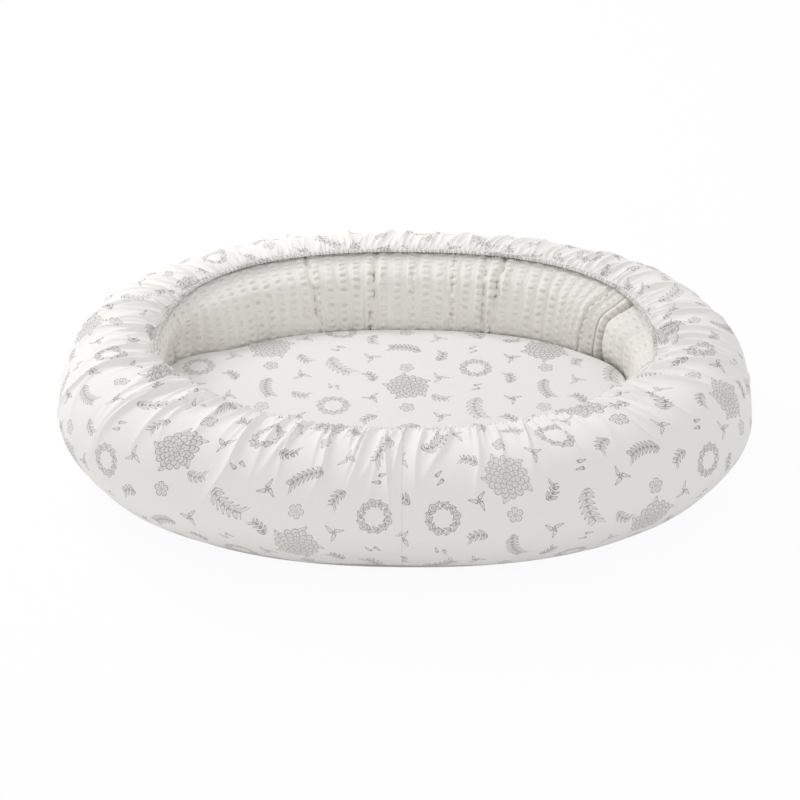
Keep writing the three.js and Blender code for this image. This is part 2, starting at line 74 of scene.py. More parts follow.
# Its upper half leans inwards at the front corners, and the pad presses its inner side at the ends
SWELL_LEFT = 25 * MM
SWELL_RIGHT = 18 * MM
SWELL_RISE = 8 * MM
SWELL_POWER = 0.7
SWELL_ZONE = 0.6
PRESS_LEFT = 44 * MM
PRESS_RIGHT = 12 * MM
PRESS_START = 0.25
PRESS_ZONE = 0.75
PRESS_ANGLE = 50

# The rim on that section, in degrees from the outer side over the top
RIM_BACK = 106
RIM_END = 125
RIM_FRONT = 123
RIM_CORNER_TURN = 5
RIM_SHOW = 8
RIM_BLEND = 24
INNER_TURN = 234

# The room that the folds have, as shares of the highest fold
FOLD_RIM_SHARE = 0.6
FOLD_FOOT_SHARE = 0.22
FOLD_PEAK_SHARE = 0.14
VALLEY_SHARE = 0.75

# The roll
ROLL_JOINT = 100 * MM
ROLL_SLANT = -0.5
SLANT_ZONE = 150 * MM
ROLL_EASE = 3.9 * MM
END_GAP = 0.6 * MM
FRONT_END_LENGTH = 118 * MM
BACK_END_LENGTH = 16 * MM

SEED = 7


def srgb(code):
    """A hex sRGB colour as the linear RGBA that Blender's sockets take."""
    parts = [int(code[i:i + 2], 16) / 255 for i in (1, 3, 5)]
    linear = [c / 12.92 if c <= 0.04045 else ((c + 0.055) / 1.055) ** 2.4 for c in parts]
    return (*linear, 1.0)


def smooth(value):
    """Smoothstep from 0 to 1."""
    t = np.clip(value, 0, 1)
    return t * t * (3 - 2 * t)


def mix(a, b, share):
    return a + (b - a) * share


# The lengths that a user would change
LENGTHS = (
    ("length", "Length", "Outer length of the nest", 900 * MM),
    ("width", "Width", "Outer width of the nest", 656 * MM),
    ("height", "Height", "Height of the padded edge", 180 * MM),
    ("edge_width", "Edge Width", "Width of the padded edge, seen from above", 168 * MM),
    ("fold_height", "Fold Height", "Height of the highest gather", 9 * MM),
    ("cloth", "Cloth Thickness", "Thickness of the cover's cloth", 0.6 * MM),
    ("hem_width", "Hem Width", "Width of the hem round the elastic", 5 * MM),
    ("hem_height", "Hem Thickness", "Thickness of the hem round the elastic", 3.8 * MM),
    ("stitch_spacing", "Stitch Spacing", "Distance between overlock stitches on the hem", 3.2 * MM),
    ("lane_spacing", "Lane Spacing", "Distance between the crinkled cloth's lanes of puckers", 20 * MM),
    ("pucker_spacing", "Pucker Spacing", "Distance between the puckers in a lane", 9.5 * MM),
    ("pucker_depth", "Pucker Depth", "Depth of the puckers", 2.3 * MM),
    ("pad_crown", "Pad Crown", "Height of the pad's middle over its edge", 3.5 * MM),
    ("pad_shoulder", "Pad Shoulder", "Radius of the pad's upper edge", 6.5 * MM),
)
COLOURS = (
    ("cotton", "Cotton", "Colour of the printed cotton", "#F2F1EE"),
    ("ink", "Ink", "Colour of the line print", "#827D79"),
    ("crinkle", "Crinkled Cotton", "Colour of the roll's cotton", "#EFECE7"),
)


class NestSettings(PropertyGroup):
    """The sizes and colours that a user would change. The loops below add all but the count."""

    gathers: IntProperty(
        name="Gathers", description="Number of small gathers at the elastic",
        default=340, min=20,
    )


for key, label, about, size in LENGTHS:
    NestSettings.__annotations__[key] = FloatProperty(
        name=label, description=about, default=size, unit="LENGTH",
    )
for key, label, about, code in COLOURS:
    NestSettings.__annotations__[key] = FloatVectorProperty(
        name=label, description=about, subtype="COLOR", size=4, default=srgb(code),
    )


class PaddedEdge:
    """The padded edge: its oval middle line and the round section carried along it."""

    def __init__(self, nest):
        self.half = nest.edge_width / 2
        self.half_length = nest.length / 2 - self.half
        self.half_width = nest.width / 2 - self.half
        self.rise = (nest.height + EDGE_SINK) / 2
        self.middle = nest.height - self.rise
        self.fold = nest.fold_height
        self.lane = nest.lane_spacing
        self.angles = np.linspace(0, 2 * math.pi, ARC_SAMPLES + 1)
        line = self.plan(self.angles)
        steps = np.linalg.norm(np.diff(line, axis=0), axis=1)
        self.arc = np.concatenate([[0], np.cumsum(steps)])
        self.perimeter = self.arc[-1]
        self.roll_length = self.perimeter - END_GAP
        self.front_seam = self.perimeter * 3 / 4
        share = ((self.middle - FOOT_HEIGHT) / self.rise) ** LOWER_EXPONENT
        self.foot = -math.atan((share / (1 - share)) ** (1 / LOWER_EXPONENT))

    def plan(self, angle):
        radius = oval(angle, PLAN_EXPONENT)
        x = self.half_length * radius * np.cos(angle)
        y = self.half_width * radius * np.sin(angle)
        return np.stack([x, y], -1)

    def station(self, distance):
        """Point and outward direction at a distance along the middle line."""
        wrapped = np.mod(distance, self.perimeter)
        point = self.plan(np.interp(wrapped, self.arc, self.angles))
        halves = np.array([self.half_length, self.half_width])
        share = point / halves
        slope = np.sign(share) * np.abs(share) ** (PLAN_EXPONENT - 1) / halves
        return point, slope / np.linalg.norm(slope, axis=-1, keepdims=True)

    def place(self, distance, outward, height):
        """Points beside the middle line. The upper half leans inwards at the front corners."""
        point, normal = self.station(distance)
        corner = corner_share(normal)
        swell = np.where(normal[..., 0] < 0, SWELL_LEFT, SWELL_RIGHT) * corner
        above = np.maximum(0, height - self.middle) / self.rise
        inner = np.maximum(0, -outward) / self.half
        outward = outward - swell * inner * smooth(above / SWELL_ZONE)
        x = point[..., 0] + normal[..., 0] * outward
        y = point[..., 1] + normal[..., 1] * outward
        return np.stack([x, y, height + SWELL_RISE * corner * above], -1)

    def press(self, distance):
        """How far the pad presses the roll outwards, which it does at the nest's two ends."""
        normal = self.station(distance)[1]
        most = np.where(normal[..., 0] < 0, PRESS_LEFT, PRESS_RIGHT)
        return most * smooth((normal[..., 0] ** 2 - PRESS_START) / PRESS_ZONE)

    def section(self, angle, inset, width=None):
        radius = oval(angle, np.where(np.sin(angle) < 0, LOWER_EXPONENT, UPPER_EXPONENT))
        half = self.half if width is None else width
        outward = (half - inset) * radius * np.cos(angle)
        return outward, self.middle + (self.rise - inset) * radius * np.sin(angle)

    def surface(self, distance, angle, inset):
        outward, height = self.section(angle, inset)
        return self.place(distance, outward, np.maximum(height, FOOT_HEIGHT))

    def rim(self, distance):
        """Section angle of the rim. It lies further in where it cuts across a front corner."""
        normal = self.station(distance)[1]
        side = np.where(normal[..., 1] > 0, RIM_BACK, RIM_FRONT)
        turn = RIM_CORNER_TURN * corner_share(normal)
        return np.radians(mix(side, RIM_END, normal[..., 0] ** 2) + turn)

    def fold_room(self, share):
        """How far the valleys may lie under the highest folds, from the rim (0) to the foot (1)."""
        start = mix(FOLD_RIM_SHARE, 1, np.minimum(1, share / FOLD_PEAK_SHARE))
        fade = smooth((share - FOLD_PEAK_SHARE) / (1 - FOLD_PEAK_SHARE))
        return self.fold * start * mix(1, FOLD_FOOT_SHARE, fade)


def corner_share(normal):
    """0 on the long sides, at the ends and along the back, and 1 at the two front corners."""
    end = normal[..., 0] ** 2
    return np.where(normal[..., 1] < 0, np.maximum(0, 4 * end * (1 - end)) ** SWELL_POWER, 0)


def crest(away, rounding):
    """A ridge with a rounded top: 1 at its middle, and falling off alike on both sides."""
    return np.exp(rounding - np.sqrt(away * away + rounding ** 2))


def oval(angle, exponent):
    """Radius share of a superellipse at an angle."""
    across = np.abs(np.cos(angle)) ** exponent
    along = np.abs(np.sin(angle)) ** exponent
    return (across + along) ** (-1 / exponent)


# Nodes and meshes

def add(tree, kind, fill=(), **settings):
    """Adds a node with its settings, and fills its inputs, in order or by name."""
    node = tree.nodes.new(kind)
    for name, value in settings.items():
        setattr(node, name, value)
    for key, value in fill.items() if isinstance(fill, dict) else enumerate(fill):
        if value is None:
            continue
        if isinstance(value, bpy.types.Node):
            value = next(out for out in value.outputs if out.enabled)
        if isinstance(value, bpy.types.NodeSocket):
            tree.links.new(value, node.inputs[key])
        else:
            node.inputs[key].default_value = value
    return node


def new_material(name):
    material = bpy.data.materials.new(name)
    material.use_nodes = True
    material.node_tree.nodes.clear()
    return material, material.node_tree


def finish_material(tree, colour, roughness, bump=None, **constants):
    """Puts a Principled shader and the output at the end of a material."""
    shader = add(tree, "ShaderNodeBsdfPrincipled", {"Base Color": colour, "Roughness": roughness})
    for name, value in constants.items():
        shader.inputs[name.replace("_", " ")].default_value = value
    if bump is not None:
        tree.links.new(bump.outputs[0], shader.inputs["Normal"])
    add(tree, "ShaderNodeOutputMaterial", [shader])


def smooth_faces(mesh):
    mesh.polygons.foreach_set("use_smooth", np.ones(len(mesh.polygons), bool))


def points_of(mesh):
    spots = np.zeros(len(mesh.vertices) * 3)
    mesh.vertices.foreach_get("co", spots)
    return spots.reshape(-1, 3)


def store(mesh, name, values, kind="FLOAT_VECTOR"):
    """Keeps a vector or a number for each vertex, where nodes read it by its name."""
    stored = mesh.attributes.new(name, kind, "POINT")
    field = "vector" if kind == "FLOAT_VECTOR" else "value"
    stored.data.foreach_set(field, np.asarray(values, np.float32).ravel())


def new_object(name, points, faces, material=None, uv=None):
    """A smooth mesh object at the origin, with a UV for each vertex if there is one."""
    mesh = bpy.data.meshes.new(name)
    faces = faces.tolist() if isinstance(faces, np.ndarray) else faces
    mesh.from_pydata(np.asarray(points, float).reshape(-1, 3), [], faces)
    smooth_faces(mesh)
    if uv is not None:
        corners = np.zeros(len(mesh.loops), np.int32)
        mesh.loops.foreach_get("vertex_index", corners)
        layer = mesh.uv_layers.new(name="cloth")
        layer.uv.foreach_set("vector", np.asarray(uv, np.float32)[corners].ravel())
    obj = bpy.data.objects.new(name, mesh)
    bpy.context.scene.collection.objects.link(obj)
    if material is not None:
        mesh.materials.append(material)
    return obj


def grid_faces(rows, columns, wrap_rows=False, wrap_columns=False, first=0, turned=False):
    """Quads of a grid of rows and columns, either of which may close on itself."""
    i = np.arange(rows if wrap_rows else rows - 1)[:, None]
    j = np.arange(columns if wrap_columns else columns - 1)[None, :]
    ahead, beside = (i + 1) % rows, (j + 1) % columns
    corners = [i * columns + j, ahead * columns + j, ahead * columns + beside, i * columns + beside]
    quads = np.stack([np.broadcast_to(c, (i.size, j.size)) for c in corners], -1).reshape(-1, 4)
    return first + (quads[:, ::-1] if turned else quads)


def grid_normals(points, wrap_columns=False):
    """Unit normals of a grid, to the side that its faces show."""
    along = np.gradient(points, axis=0)
    if wrap_columns:
        across = (np.roll(points, -1, 1) - np.roll(points, 1, 1)) / 2
    else:
        across = np.gradient(points, axis=1)
    normal = np.cross(along, across)
    return normal / np.maximum(np.linalg.norm(normal, axis=-1, keepdims=True), TINY)


def shell(outer, thickness, step):
    """Points and faces of a closed skin under a grid. The inner layer keeps each step-th column."""
    inner = (outer - grid_normals(outer) * thickness)[:, ::step]
    rows, columns = outer.shape[:2]
    kept = inner.shape[1]
    first = rows * columns
    top = np.arange(first).reshape(rows, columns)
    low = first + np.arange(rows * kept).reshape(rows, kept)
    faces = grid_faces(rows, columns).tolist()
    faces += grid_faces(rows, kept, first=first, turned=True).tolist()
    for side, turned in ((0, False), (columns - 1, True)):
        near = kept - 1 if turned else 0
        strip = np.stack([top[1:, side], top[:-1, side], low[:-1, near], low[1:, near]], -1)
        faces += (strip[:, ::-1] if turned else strip).tolist()
    for side in (0, rows - 1):
        for k in range(kept - 1):
            face = [*top[side, k * step:(k + 1) * step + 1], low[side, k + 1], low[side, k]]
            faces.append([int(i) for i in (face if side == 0 else face[::-1])])
    return np.concatenate([outer.reshape(-1, 3), inner.reshape(-1, 3)]), faces


def tube(outer, thickness, step):
    """Points and faces of a closed pipe wall. The inner layer keeps each step-th ring."""
    inner = (outer - grid_normals(outer, wrap_columns=True) * thickness)[::step]
    rows, columns = outer.shape[:2]
    kept = inner.shape[0]
    first = rows * columns
    faces = grid_faces(rows, columns, wrap_columns=True).tolist()
    faces += grid_faces(kept, columns, wrap_columns=True, first=first, turned=True).tolist()
    j = np.arange(columns)
    ahead = (j + 1) % columns
    last_top, last_low = (rows - 1) * columns, first + (kept - 1) * columns
    start = [ahead, j, first + j, first + ahead]
    end = [last_top + j, last_top + ahead, last_low + ahead, last_low + j]
    for strip in (start, end):
        faces += np.stack(strip, -1)[:, ::-1].tolist()
    return np.concatenate([outer.reshape(-1, 3), inner.reshape(-1, 3)]), faces


def nest_edge():
    return PaddedEdge(bpy.context.scene.nest)


def keep_modified(obj, **settings):
    """Puts an object's modified mesh in place of its own, and drops the modifiers."""
    graph = bpy.context.evaluated_depsgraph_get()
    mesh = bpy.data.meshes.new_from_object(obj.evaluated_get(graph), depsgraph=graph, **settings)
    obj.modifiers.clear()
    obj.data = mesh
    return mesh


def run_tree(obj, tree, **inputs):
    """Runs a Geometry Nodes tree on an object once, and keeps its result as a plain mesh."""
    modifier = obj.modifiers.new(tree.name, "NODES")
    modifier.node_group = tree
    for item in tree.interface.items_tree:
        if item.in_out == "INPUT" and item.name in inputs:
            modifier[item.identifier] = inputs[item.name]
    smooth_faces(keep_modified(obj, preserve_all_data_layers=True))


def new_group(name, kind, inputs, outputs):
    """A node group with named inputs and outputs, and its two end nodes."""
    tree = bpy.data.node_groups.new(name, kind)
    for label, socket, default in inputs:
        item = tree.interface.new_socket(label, in_out="INPUT", socket_type=socket)
        if default is not None:
            item.default_value = default
    for label, socket in outputs:
        tree.interface.new_socket(label, in_out="OUTPUT", socket_type=socket)
    return tree, tree.nodes.new("NodeGroupInput").outputs, tree.nodes.new("NodeGroupOutput").inputs


# The line print. Everything in these groups is in millimetres

FLOAT = "NodeSocketFloat"
VECTOR = "NodeSocketVector"
LINE_HALF = 0.3
LINE_EDGE = 0.28
INK_COVER = 0.9
# A leaf's veins slant back from its rib, and are drawn a little thinner than its outline
VEIN_SLANT = 0.9
VEIN_THINNER = 0.12
# Further than anything on a leaf, which takes the veins away outside it
FAR = 100.0
# How much a stem bends, how far back its pairs of leaves start, and where on a leaf it holds it
STEM_BEND = 0.25
PAIR_BACK = 0.8
LEAF_HOLD = 0.55
# The faintest of the motifs, as a share of the ink
FAINTEST = 0.75


def pen_line(tree, distance):
    """Strength of the ink at a distance from the middle of a drawn line."""
    return add(
        tree, "ShaderNodeMapRange", [distance, LINE_HALF - LINE_EDGE, LINE_HALF + LINE_EDGE, 1.0, 0.0],
        interpolation_type="SMOOTHSTEP",
    )


def leaf_group():
    """Draws one outlined leaf or petal, with a rib and veins, over the print that lies under it."""
    tree, given, result = new_group(
        "leaf", "ShaderNodeTree",
        [("Place", VECTOR, None), ("Under", FLOAT, 0.0), ("Length", FLOAT, 10.0), ("Width", FLOAT, 5.0),
         ("Taper", FLOAT, 0.0), ("Vein Spacing", FLOAT, 1.5)],
        [("Ink", FLOAT)],
    )
    place = add(tree, "ShaderNodeSeparateXYZ", [given["Place"]])
    across = add(tree, MATH, [place.outputs[1]], operation="ABSOLUTE")
    along = add(tree, MATH, [place.outputs[0], 2.0], operation="MULTIPLY")
    along_share = add(tree, MATH, [along, given["Length"]], operation="DIVIDE")
    narrow = add(tree, MATH, [along_share, given["Taper"], 1.0], operation="MULTIPLY_ADD")
    wide = add(tree, MATH, [across, narrow], operation="MULTIPLY")
    double = add(tree, MATH, [wide, 2.0], operation="MULTIPLY")
    across_share = add(tree, MATH, [double, given["Width"]], operation="DIVIDE")
    shares = add(tree, "ShaderNodeCombineXYZ", [along_share, across_share])
    reach = add(tree, VECTOR_MATH, [shares], operation="LENGTH").outputs["Value"]
    inside = add(tree, MATH, [reach, 1.0], operation="LESS_THAN")
    beyond = add(tree, MATH, [reach, 1.0], operation="SUBTRACT")
    beyond = add(tree, MATH, [beyond], operation="ABSOLUTE")
    gap = add(tree, MATH, [beyond, given["Width"]], operation="MULTIPLY")
    gap = add(tree, MATH, [gap, 0.5], operation="MULTIPLY")
    vein = add(tree, MATH, [across, -VEIN_SLANT, place.outputs[0]], operation="MULTIPLY_ADD")
    half_spacing = add(tree, MATH, [given["Vein Spacing"], 0.5], operation="MULTIPLY")
    vein = add(tree, MATH, [vein, half_spacing], operation="PINGPONG")
    inner = add(tree, MATH, [vein, across], operation="MINIMUM")
    inner = add(tree, MATH, [inner, VEIN_THINNER], operation="ADD")
    outer = add(tree, MATH, [inside, -FAR, FAR], operation="MULTIPLY_ADD")
    inner = add(tree, MATH, [inner, outer], operation="ADD")
    nearest = add(tree, MATH, [inner, gap], operation="MINIMUM")
    line = pen_line(tree, nearest)
    clear = add(tree, MATH, [1.0, inside], operation="SUBTRACT")
    under = add(tree, MATH, [given["Under"], clear], operation="MULTIPLY")
    ink = add(tree, MATH, [line, under], operation="MAXIMUM")
    tree.links.new(ink.outputs[0], result["Ink"])
    return tree


def ring_group():
    """Repeats a place round a ring, so that one leaf becomes a ring of leaves."""
    tree, given, result = new_group(
        "ring", "ShaderNodeTree",
        [("Place", VECTOR, None), ("Count", FLOAT, 5.0), ("Reach", FLOAT, 10.0), ("Lean", FLOAT, 0.0),
         ("Turn", FLOAT, 0.0)],
        [("Place", VECTOR)],
    )
    turned = add(
        tree, "ShaderNodeVectorRotate", {"Vector": given["Place"], "Angle": given["Turn"]},
        rotation_type="Z_AXIS",
    )
    place = add(tree, "ShaderNodeSeparateXYZ", [turned])
    angle = add(tree, MATH, [place.outputs[1], place.outputs[0]], operation="ARCTAN2")
    step = add(tree, MATH, [2 * math.pi, given["Count"]], operation="DIVIDE")
    sector = add(tree, MATH, [angle, step], operation="DIVIDE")
    sector = add(tree, MATH, [sector], operation="ROUND")
    near = add(tree, MATH, [sector, step], operation="MULTIPLY")
    back = add(tree, MATH, [near, -1.0], operation="MULTIPLY")
    level = add(tree, "ShaderNodeVectorRotate", {"Vector": turned, "Angle": back}, rotation_type="Z_AXIS")
    out = add(tree, "ShaderNodeCombineXYZ", [given["Reach"]])
    moved = add(tree, VECTOR_MATH, [level, out], operation="SUBTRACT")
    leaned = add(
        tree, "ShaderNodeVectorRotate", {"Vector": moved, "Angle": given["Lean"]}, rotation_type="Z_AXIS",
    )
    tree.links.new(leaned.outputs[0], result["Place"])
    return tree


def stem_group():
    """Repeats a place in pairs along a bent stem, and draws the stem."""
    tree, given, result = new_group(
        "stem", "ShaderNodeTree",
        [("Place", VECTOR, None), ("Count", FLOAT, 5.0), ("Reach", FLOAT, 20.0), ("Lean", FLOAT, 0.7),
         ("Leaf Length", FLOAT, 10.0)],
        [("Place", VECTOR), ("Ink", FLOAT)],
    )
    place = add(tree, "ShaderNodeSeparateXYZ", [given["Place"]])
    square = add(tree, MATH, [place.outputs[0], place.outputs[0]], operation="MULTIPLY")
    bend = add(tree, MATH, [square, STEM_BEND], operation="MULTIPLY")
    bend = add(tree, MATH, [bend, given["Reach"]], operation="DIVIDE")
    side = add(tree, MATH, [place.outputs[1], bend], operation="SUBTRACT")
    across = add(tree, MATH, [side], operation="ABSOLUTE")
    whole = add(tree, MATH, [given["Reach"], 2.0], operation="MULTIPLY")
    step = add(tree, MATH, [whole, given["Count"]], operation="DIVIDE")
    back = add(tree, MATH, [across, -PAIR_BACK, place.outputs[0]], operation="MULTIPLY_ADD")
    pair = add(tree, MATH, [back, step], operation="DIVIDE")
    pair = add(tree, MATH, [pair], operation="ROUND")
    most = add(tree, MATH, [given["Count"], 0.5], operation="MULTIPLY")
    least = add(tree, MATH, [most, -1.0], operation="MULTIPLY")
    pair = add(tree, "ShaderNodeClamp", [pair, least, most])
    foot = add(tree, MATH, [pair, step], operation="MULTIPLY")
    ahead = add(tree, MATH, [place.outputs[0], foot], operation="SUBTRACT")
    local = add(tree, "ShaderNodeCombineXYZ", [ahead, across])
    back_lean = add(tree, MATH, [given["Lean"], -1.0], operation="MULTIPLY")
    leaned = add(
        tree, "ShaderNodeVectorRotate", {"Vector": local, "Angle": back_lean}, rotation_type="Z_AXIS",
    )
    half = add(tree, MATH, [given["Leaf Length"], LEAF_HOLD], operation="MULTIPLY")
    out = add(tree, "ShaderNodeCombineXYZ", [half])
    moved = add(tree, VECTOR_MATH, [leaned, out], operation="SUBTRACT")
    line = pen_line(tree, across)
    end = add(tree, MATH, [place.outputs[0]], operation="ABSOLUTE")
    end = add(tree, MATH, [end, given["Reach"]], operation="LESS_THAN")
    ink = add(tree, MATH, [line, end], operation="MULTIPLY")
    tree.links.new(moved.outputs[0], result["Place"])
    tree.links.new(ink.outputs[0], result["Ink"])
    return tree


def scatter_group():
    """Repeats a place over the cloth, once in each cell, turned and moved at random. Each
    column of cells lies lower than the one before it by the drop."""
    tree, given, result = new_group(
        "scatter", "ShaderNodeTree",
        [("Place", VECTOR, None), ("Cell", VECTOR, (90.0, 94.0, 1.0)), ("Start", VECTOR, (0.0, 0.0, 0.0)),
         ("Drop", FLOAT, 0.0), ("Jitter", FLOAT, 7.0)],
        [("Place", VECTOR), ("Strength", FLOAT)],
    )
    moved = add(tree, VECTOR_MATH, [given["Place"], given["Start"]], operation="SUBTRACT")
    spot = add(tree, "ShaderNodeSeparateXYZ", [moved])
    size = add(tree, "ShaderNodeSeparateXYZ", [given["Cell"]])
    column = add(tree, MATH, [spot.outputs[0], size.outputs[0]], operation="DIVIDE")
    column = add(tree, MATH, [column], operation="ROUND")
    drop = add(tree, MATH, [column, given["Drop"]], operation="MULTIPLY")
    height = add(tree, MATH, [spot.outputs[1], drop], operation="SUBTRACT")
    moved = add(tree, "ShaderNodeCombineXYZ", [spot.outputs[0], height])
    share = add(tree, VECTOR_MATH, [moved, given["Cell"]], operation="DIVIDE")
    middle = add(tree, VECTOR_MATH, [share, (0.5, 0.5, 0.5)], operation="ADD")
    cell = add(tree, VECTOR_MATH, [middle], operation="FLOOR")
    nearest = add(tree, VECTOR_MATH, [cell, given["Cell"]], operation="MULTIPLY")
    local = add(tree, VECTOR_MATH, [moved, nearest], operation="SUBTRACT")
    seed = add(tree, VECTOR_MATH, [cell, given["Start"]], operation="ADD")
    chance = add(tree, "ShaderNodeTexWhiteNoise", [seed], noise_dimensions="2D")
    either = add(tree, VECTOR_MATH, [chance.outputs["Color"], (0.5, 0.5, 0.5)], operation="SUBTRACT")
    aside = add(tree, VECTOR_MATH, {0: either, "Scale": given["Jitter"]}, operation="SCALE")
    local = add(tree, VECTOR_MATH, [local, aside], operation="SUBTRACT")
    angle = add(tree, MATH, [chance.outputs["Value"], 2 * math.pi], operation="MULTIPLY")
    turned = add(tree, "ShaderNodeVectorRotate", {"Vector": local, "Angle": angle}, rotation_type="Z_AXIS")
    strength = add(tree, "ShaderNodeMapRange", [chance.outputs["Value"], 0.0, 1.0, FAINTEST, 1.0])
    tree.links.new(turned.outputs[0], result["Place"])
    tree.links.new(strength.outputs[0], result["Strength"])
    return tree


# Each row is a ring or a stem of leaves: how many, reach, lean, turn, length, width, taper and veins
BLOOM = (
    ("ring", 5, 25, 0.5, 0.3, 17, 7.5, 0.5, 2.1),
    ("ring", 15, 19.5, 0, 0, 14, 8, -0.25, 1.8),
    ("ring", 12, 15, 0, 0.2, 12.5, 7.6, -0.25, 1.8),
    ("ring", 10, 10.8, 0, 0.1, 10.5, 6.4, -0.25, 1.7),
    ("ring", 7, 6.6, 0, 0.3, 8.4, 5.4, -0.25, 1.6),
    ("ring", 5, 2.8, 0, 0, 5.4, 4, -0.25, 1.5),
)
WREATH = (
    ("ring", 12, 18, 1.1, 0, 11, 4.0, 0.5, 2.2),
    ("ring", 10, 14, 2.2, 0.2, 8, 3.0, 0.5, 2.2),
    ("ring", 3, 17.5, 0, 0.7, 9, 8.6, 0, 1.5),
    ("ring", 3, 17.5, 0, 0.7, 3, 3, 0, 9),
)
SPRIG = (("stem", 5, 20, 0.9, 0, 12, 3.8, 0.5, 9),)
FERN = (("stem", 7, 19, 0.9, 0, 9, 2.4, 0.4, 9), ("ring", 1, 21, 0, 0, 6, 2.4, 0.4, 9))
BLOSSOM = (("ring", 5, 5.2, 0, 0, 8.4, 6.4, -0.3, 2.4), ("ring", 1, 0, 0, 0, 3.4, 3.4, 0, 9))
TRIO = (("ring", 3, 7, 0.25, 0, 11.5, 3.6, 0.5, 9),)
TWIG = (("stem", 3, 9, 0.9, 0, 8, 2.4, 0.45, 9),)
BUDS = (("ring", 2, 5.5, 0.9, 0, 10, 3, 0.5, 9),)

# Which motif lies where in the repeat, in shares of the repeat's width and height
REPEAT = (180.0, 188.0)
LAYOUT = (
    (BLOOM, (1, 1), (0, 0)),
    (WREATH, (1, 1), (0.5, 0.25)),
    (SPRIG, (1, 1), (0.5, 0.75)),
    (FERN, (1, 1), (0, 0.5)),
    (BLOSSOM, (1, 2), (0, 0.25)),
    (BUDS, (1, 2), (0.5, 0)),
    (TRIO, (2, 2), (0.25, 0.125)),
    (TWIG, (2, 2), (0.25, 0.375)),
)


def print_group():
    """The whole botanical repeat, from a place in metres to the strength of the ink."""
    tree, given, result = new_group(
        "botanical_print", "ShaderNodeTree", [("Place", VECTOR, None)], [("Ink", FLOAT)],
    )
    tools = {"leaf": leaf_group(), "ring": ring_group(), "stem": stem_group()}
    scatter = scatter_group()
    place = add(tree, VECTOR_MATH, {0: given["Place"], "Scale": 1 / MM}, operation="SCALE")
    total = None
    for motif, copies, share in LAYOUT:
        fill = {
            "Place": place,
            "Cell": (REPEAT[0] / copies[0], REPEAT[1] / copies[1], 1.0),
            "Start": (REPEAT[0] * share[0], REPEAT[1] * share[1], 0.0),
            "Drop": REPEAT[1] / 2 / copies[0],
        }
        spot = add(tree, "ShaderNodeGroup", fill, node_tree=scatter)
        under = None
        for kind, count, reach, lean, turn, length, width, taper, veins in motif:
            fill = {"Place": spot.outputs["Place"], "Count": count, "Reach": reach, "Lean": lean}
            fill.update({"Leaf Length": length} if kind == "stem" else {"Turn": turn})
            row = add(tree, "ShaderNodeGroup", fill, node_tree=tools[kind])
            under = row.outputs["Ink"] if kind == "stem" else under
            fill = {"Place": row.outputs["Place"], "Under": under, "Length": length, "Width": width}
            fill.update({"Taper": taper, "Vein Spacing": veins})
            under = add(tree, "ShaderNodeGroup", fill, node_tree=tools["leaf"]).outputs["Ink"]
        drawn = add(tree, MATH, [under, spot.outputs["Strength"]], operation="MULTIPLY")
        total = drawn if total is None else add(tree, MATH, [total, drawn], operation="MAXIMUM")
    tree.links.new(total.outputs[0], result["Ink"])
    return tree


# Materials

# A percale's slubs, long one way and thin the other, and the noise levels of its thinnest and
# its thickest places
SLUB_LENGTH = 14 * MM
SLUB_WIDTH = 0.9 * MM
SLUB_LEVELS = (0.7, 1.3)


def cloth_place(tree, uv_name):
    """The cloth's own coordinates in metres, or the object's where the cloth lies flat."""
    if uv_name:
        return add(tree, "ShaderNodeUVMap", uv_map=uv_name).outputs["UV"]
    return add(tree, "ShaderNodeTexCoord").outputs["Object"]


def toned(colour, tone):
    """A colour made lighter or darker by a share."""
    return tuple(tone * part for part in colour[:3]) + (1.0,)


def slubs(tree, place, along, across):
    """Uneven threads: noise that is long one way and thin the other, both in metres."""
    scale = (1 / along, 1 / across, 1 / across)
    stretched = add(tree, "ShaderNodeMapping", {"Vector": place, "Scale": scale})
    return add(tree, "ShaderNodeTexNoise", {"Vector": stretched, "Scale": 1.0, "Detail": 2.0})


def percale(tree, place, colour, thin):
    """The threads of a plain weave, and its colour, darker by a share where it is thin."""
    warp = slubs(tree, place, SLUB_LENGTH, SLUB_WIDTH)
    weft = slubs(tree, place, SLUB_WIDTH, SLUB_LENGTH)
    threads = add(tree, MATH, [warp, weft], operation="ADD")
    shade = add(tree, "ShaderNodeMapRange", [threads, *SLUB_LEVELS])
    woven = add(tree, "ShaderNodeMix", {0: shade, 6: toned(colour, thin), 7: colour}, data_type="RGBA")
    return threads, woven


def printed_cotton(name, uv_name, print_tree, tone=1.0):
    """Cotton percale with a screen-printed line drawing. An even, matt cloth whose ink lies
    in the threads and doesn't shine, so only the colour changes and not the gloss. The threads
    are 0.3 mm apart in truth and are drawn three times as coarse, as faint slubs, to show."""
    nest = bpy.context.scene.nest
    material, tree = new_material(name)
    place = cloth_place(tree, uv_name)
    drawn = add(tree, "ShaderNodeGroup", {"Place": place}, node_tree=print_tree)
    # A tone under 1 paints shade into the cotton, as on the hem and the pad
    threads, white = percale(tree, place, toned(nest.cotton, tone), 0.97)
    ink = add(tree, MATH, [drawn, INK_COVER], operation="MULTIPLY")
    mixed = add(tree, "ShaderNodeMix", {0: ink, 6: white, 7: tuple(nest.ink)}, data_type="RGBA")
    bump = add(tree, "ShaderNodeBump", {"Strength": 0.25, "Distance": 0.15 * MM, "Height": threads})
    finish_material(tree, mixed, 0.9, bump, Sheen_Weight=0.08)
    return material


def plain_cloth(name, code):
    """Undyed cotton percale. Matt, with faint slubs both ways."""
    material, tree = new_material(name)
    threads, mixed = percale(tree, cloth_place(tree, ""), srgb(code), 0.95)
    bump = add(tree, "ShaderNodeBump", {"Strength": 0.3, "Distance": 0.15 * MM, "Height": threads})
    finish_material(tree, mixed, 0.92, bump)
    return material


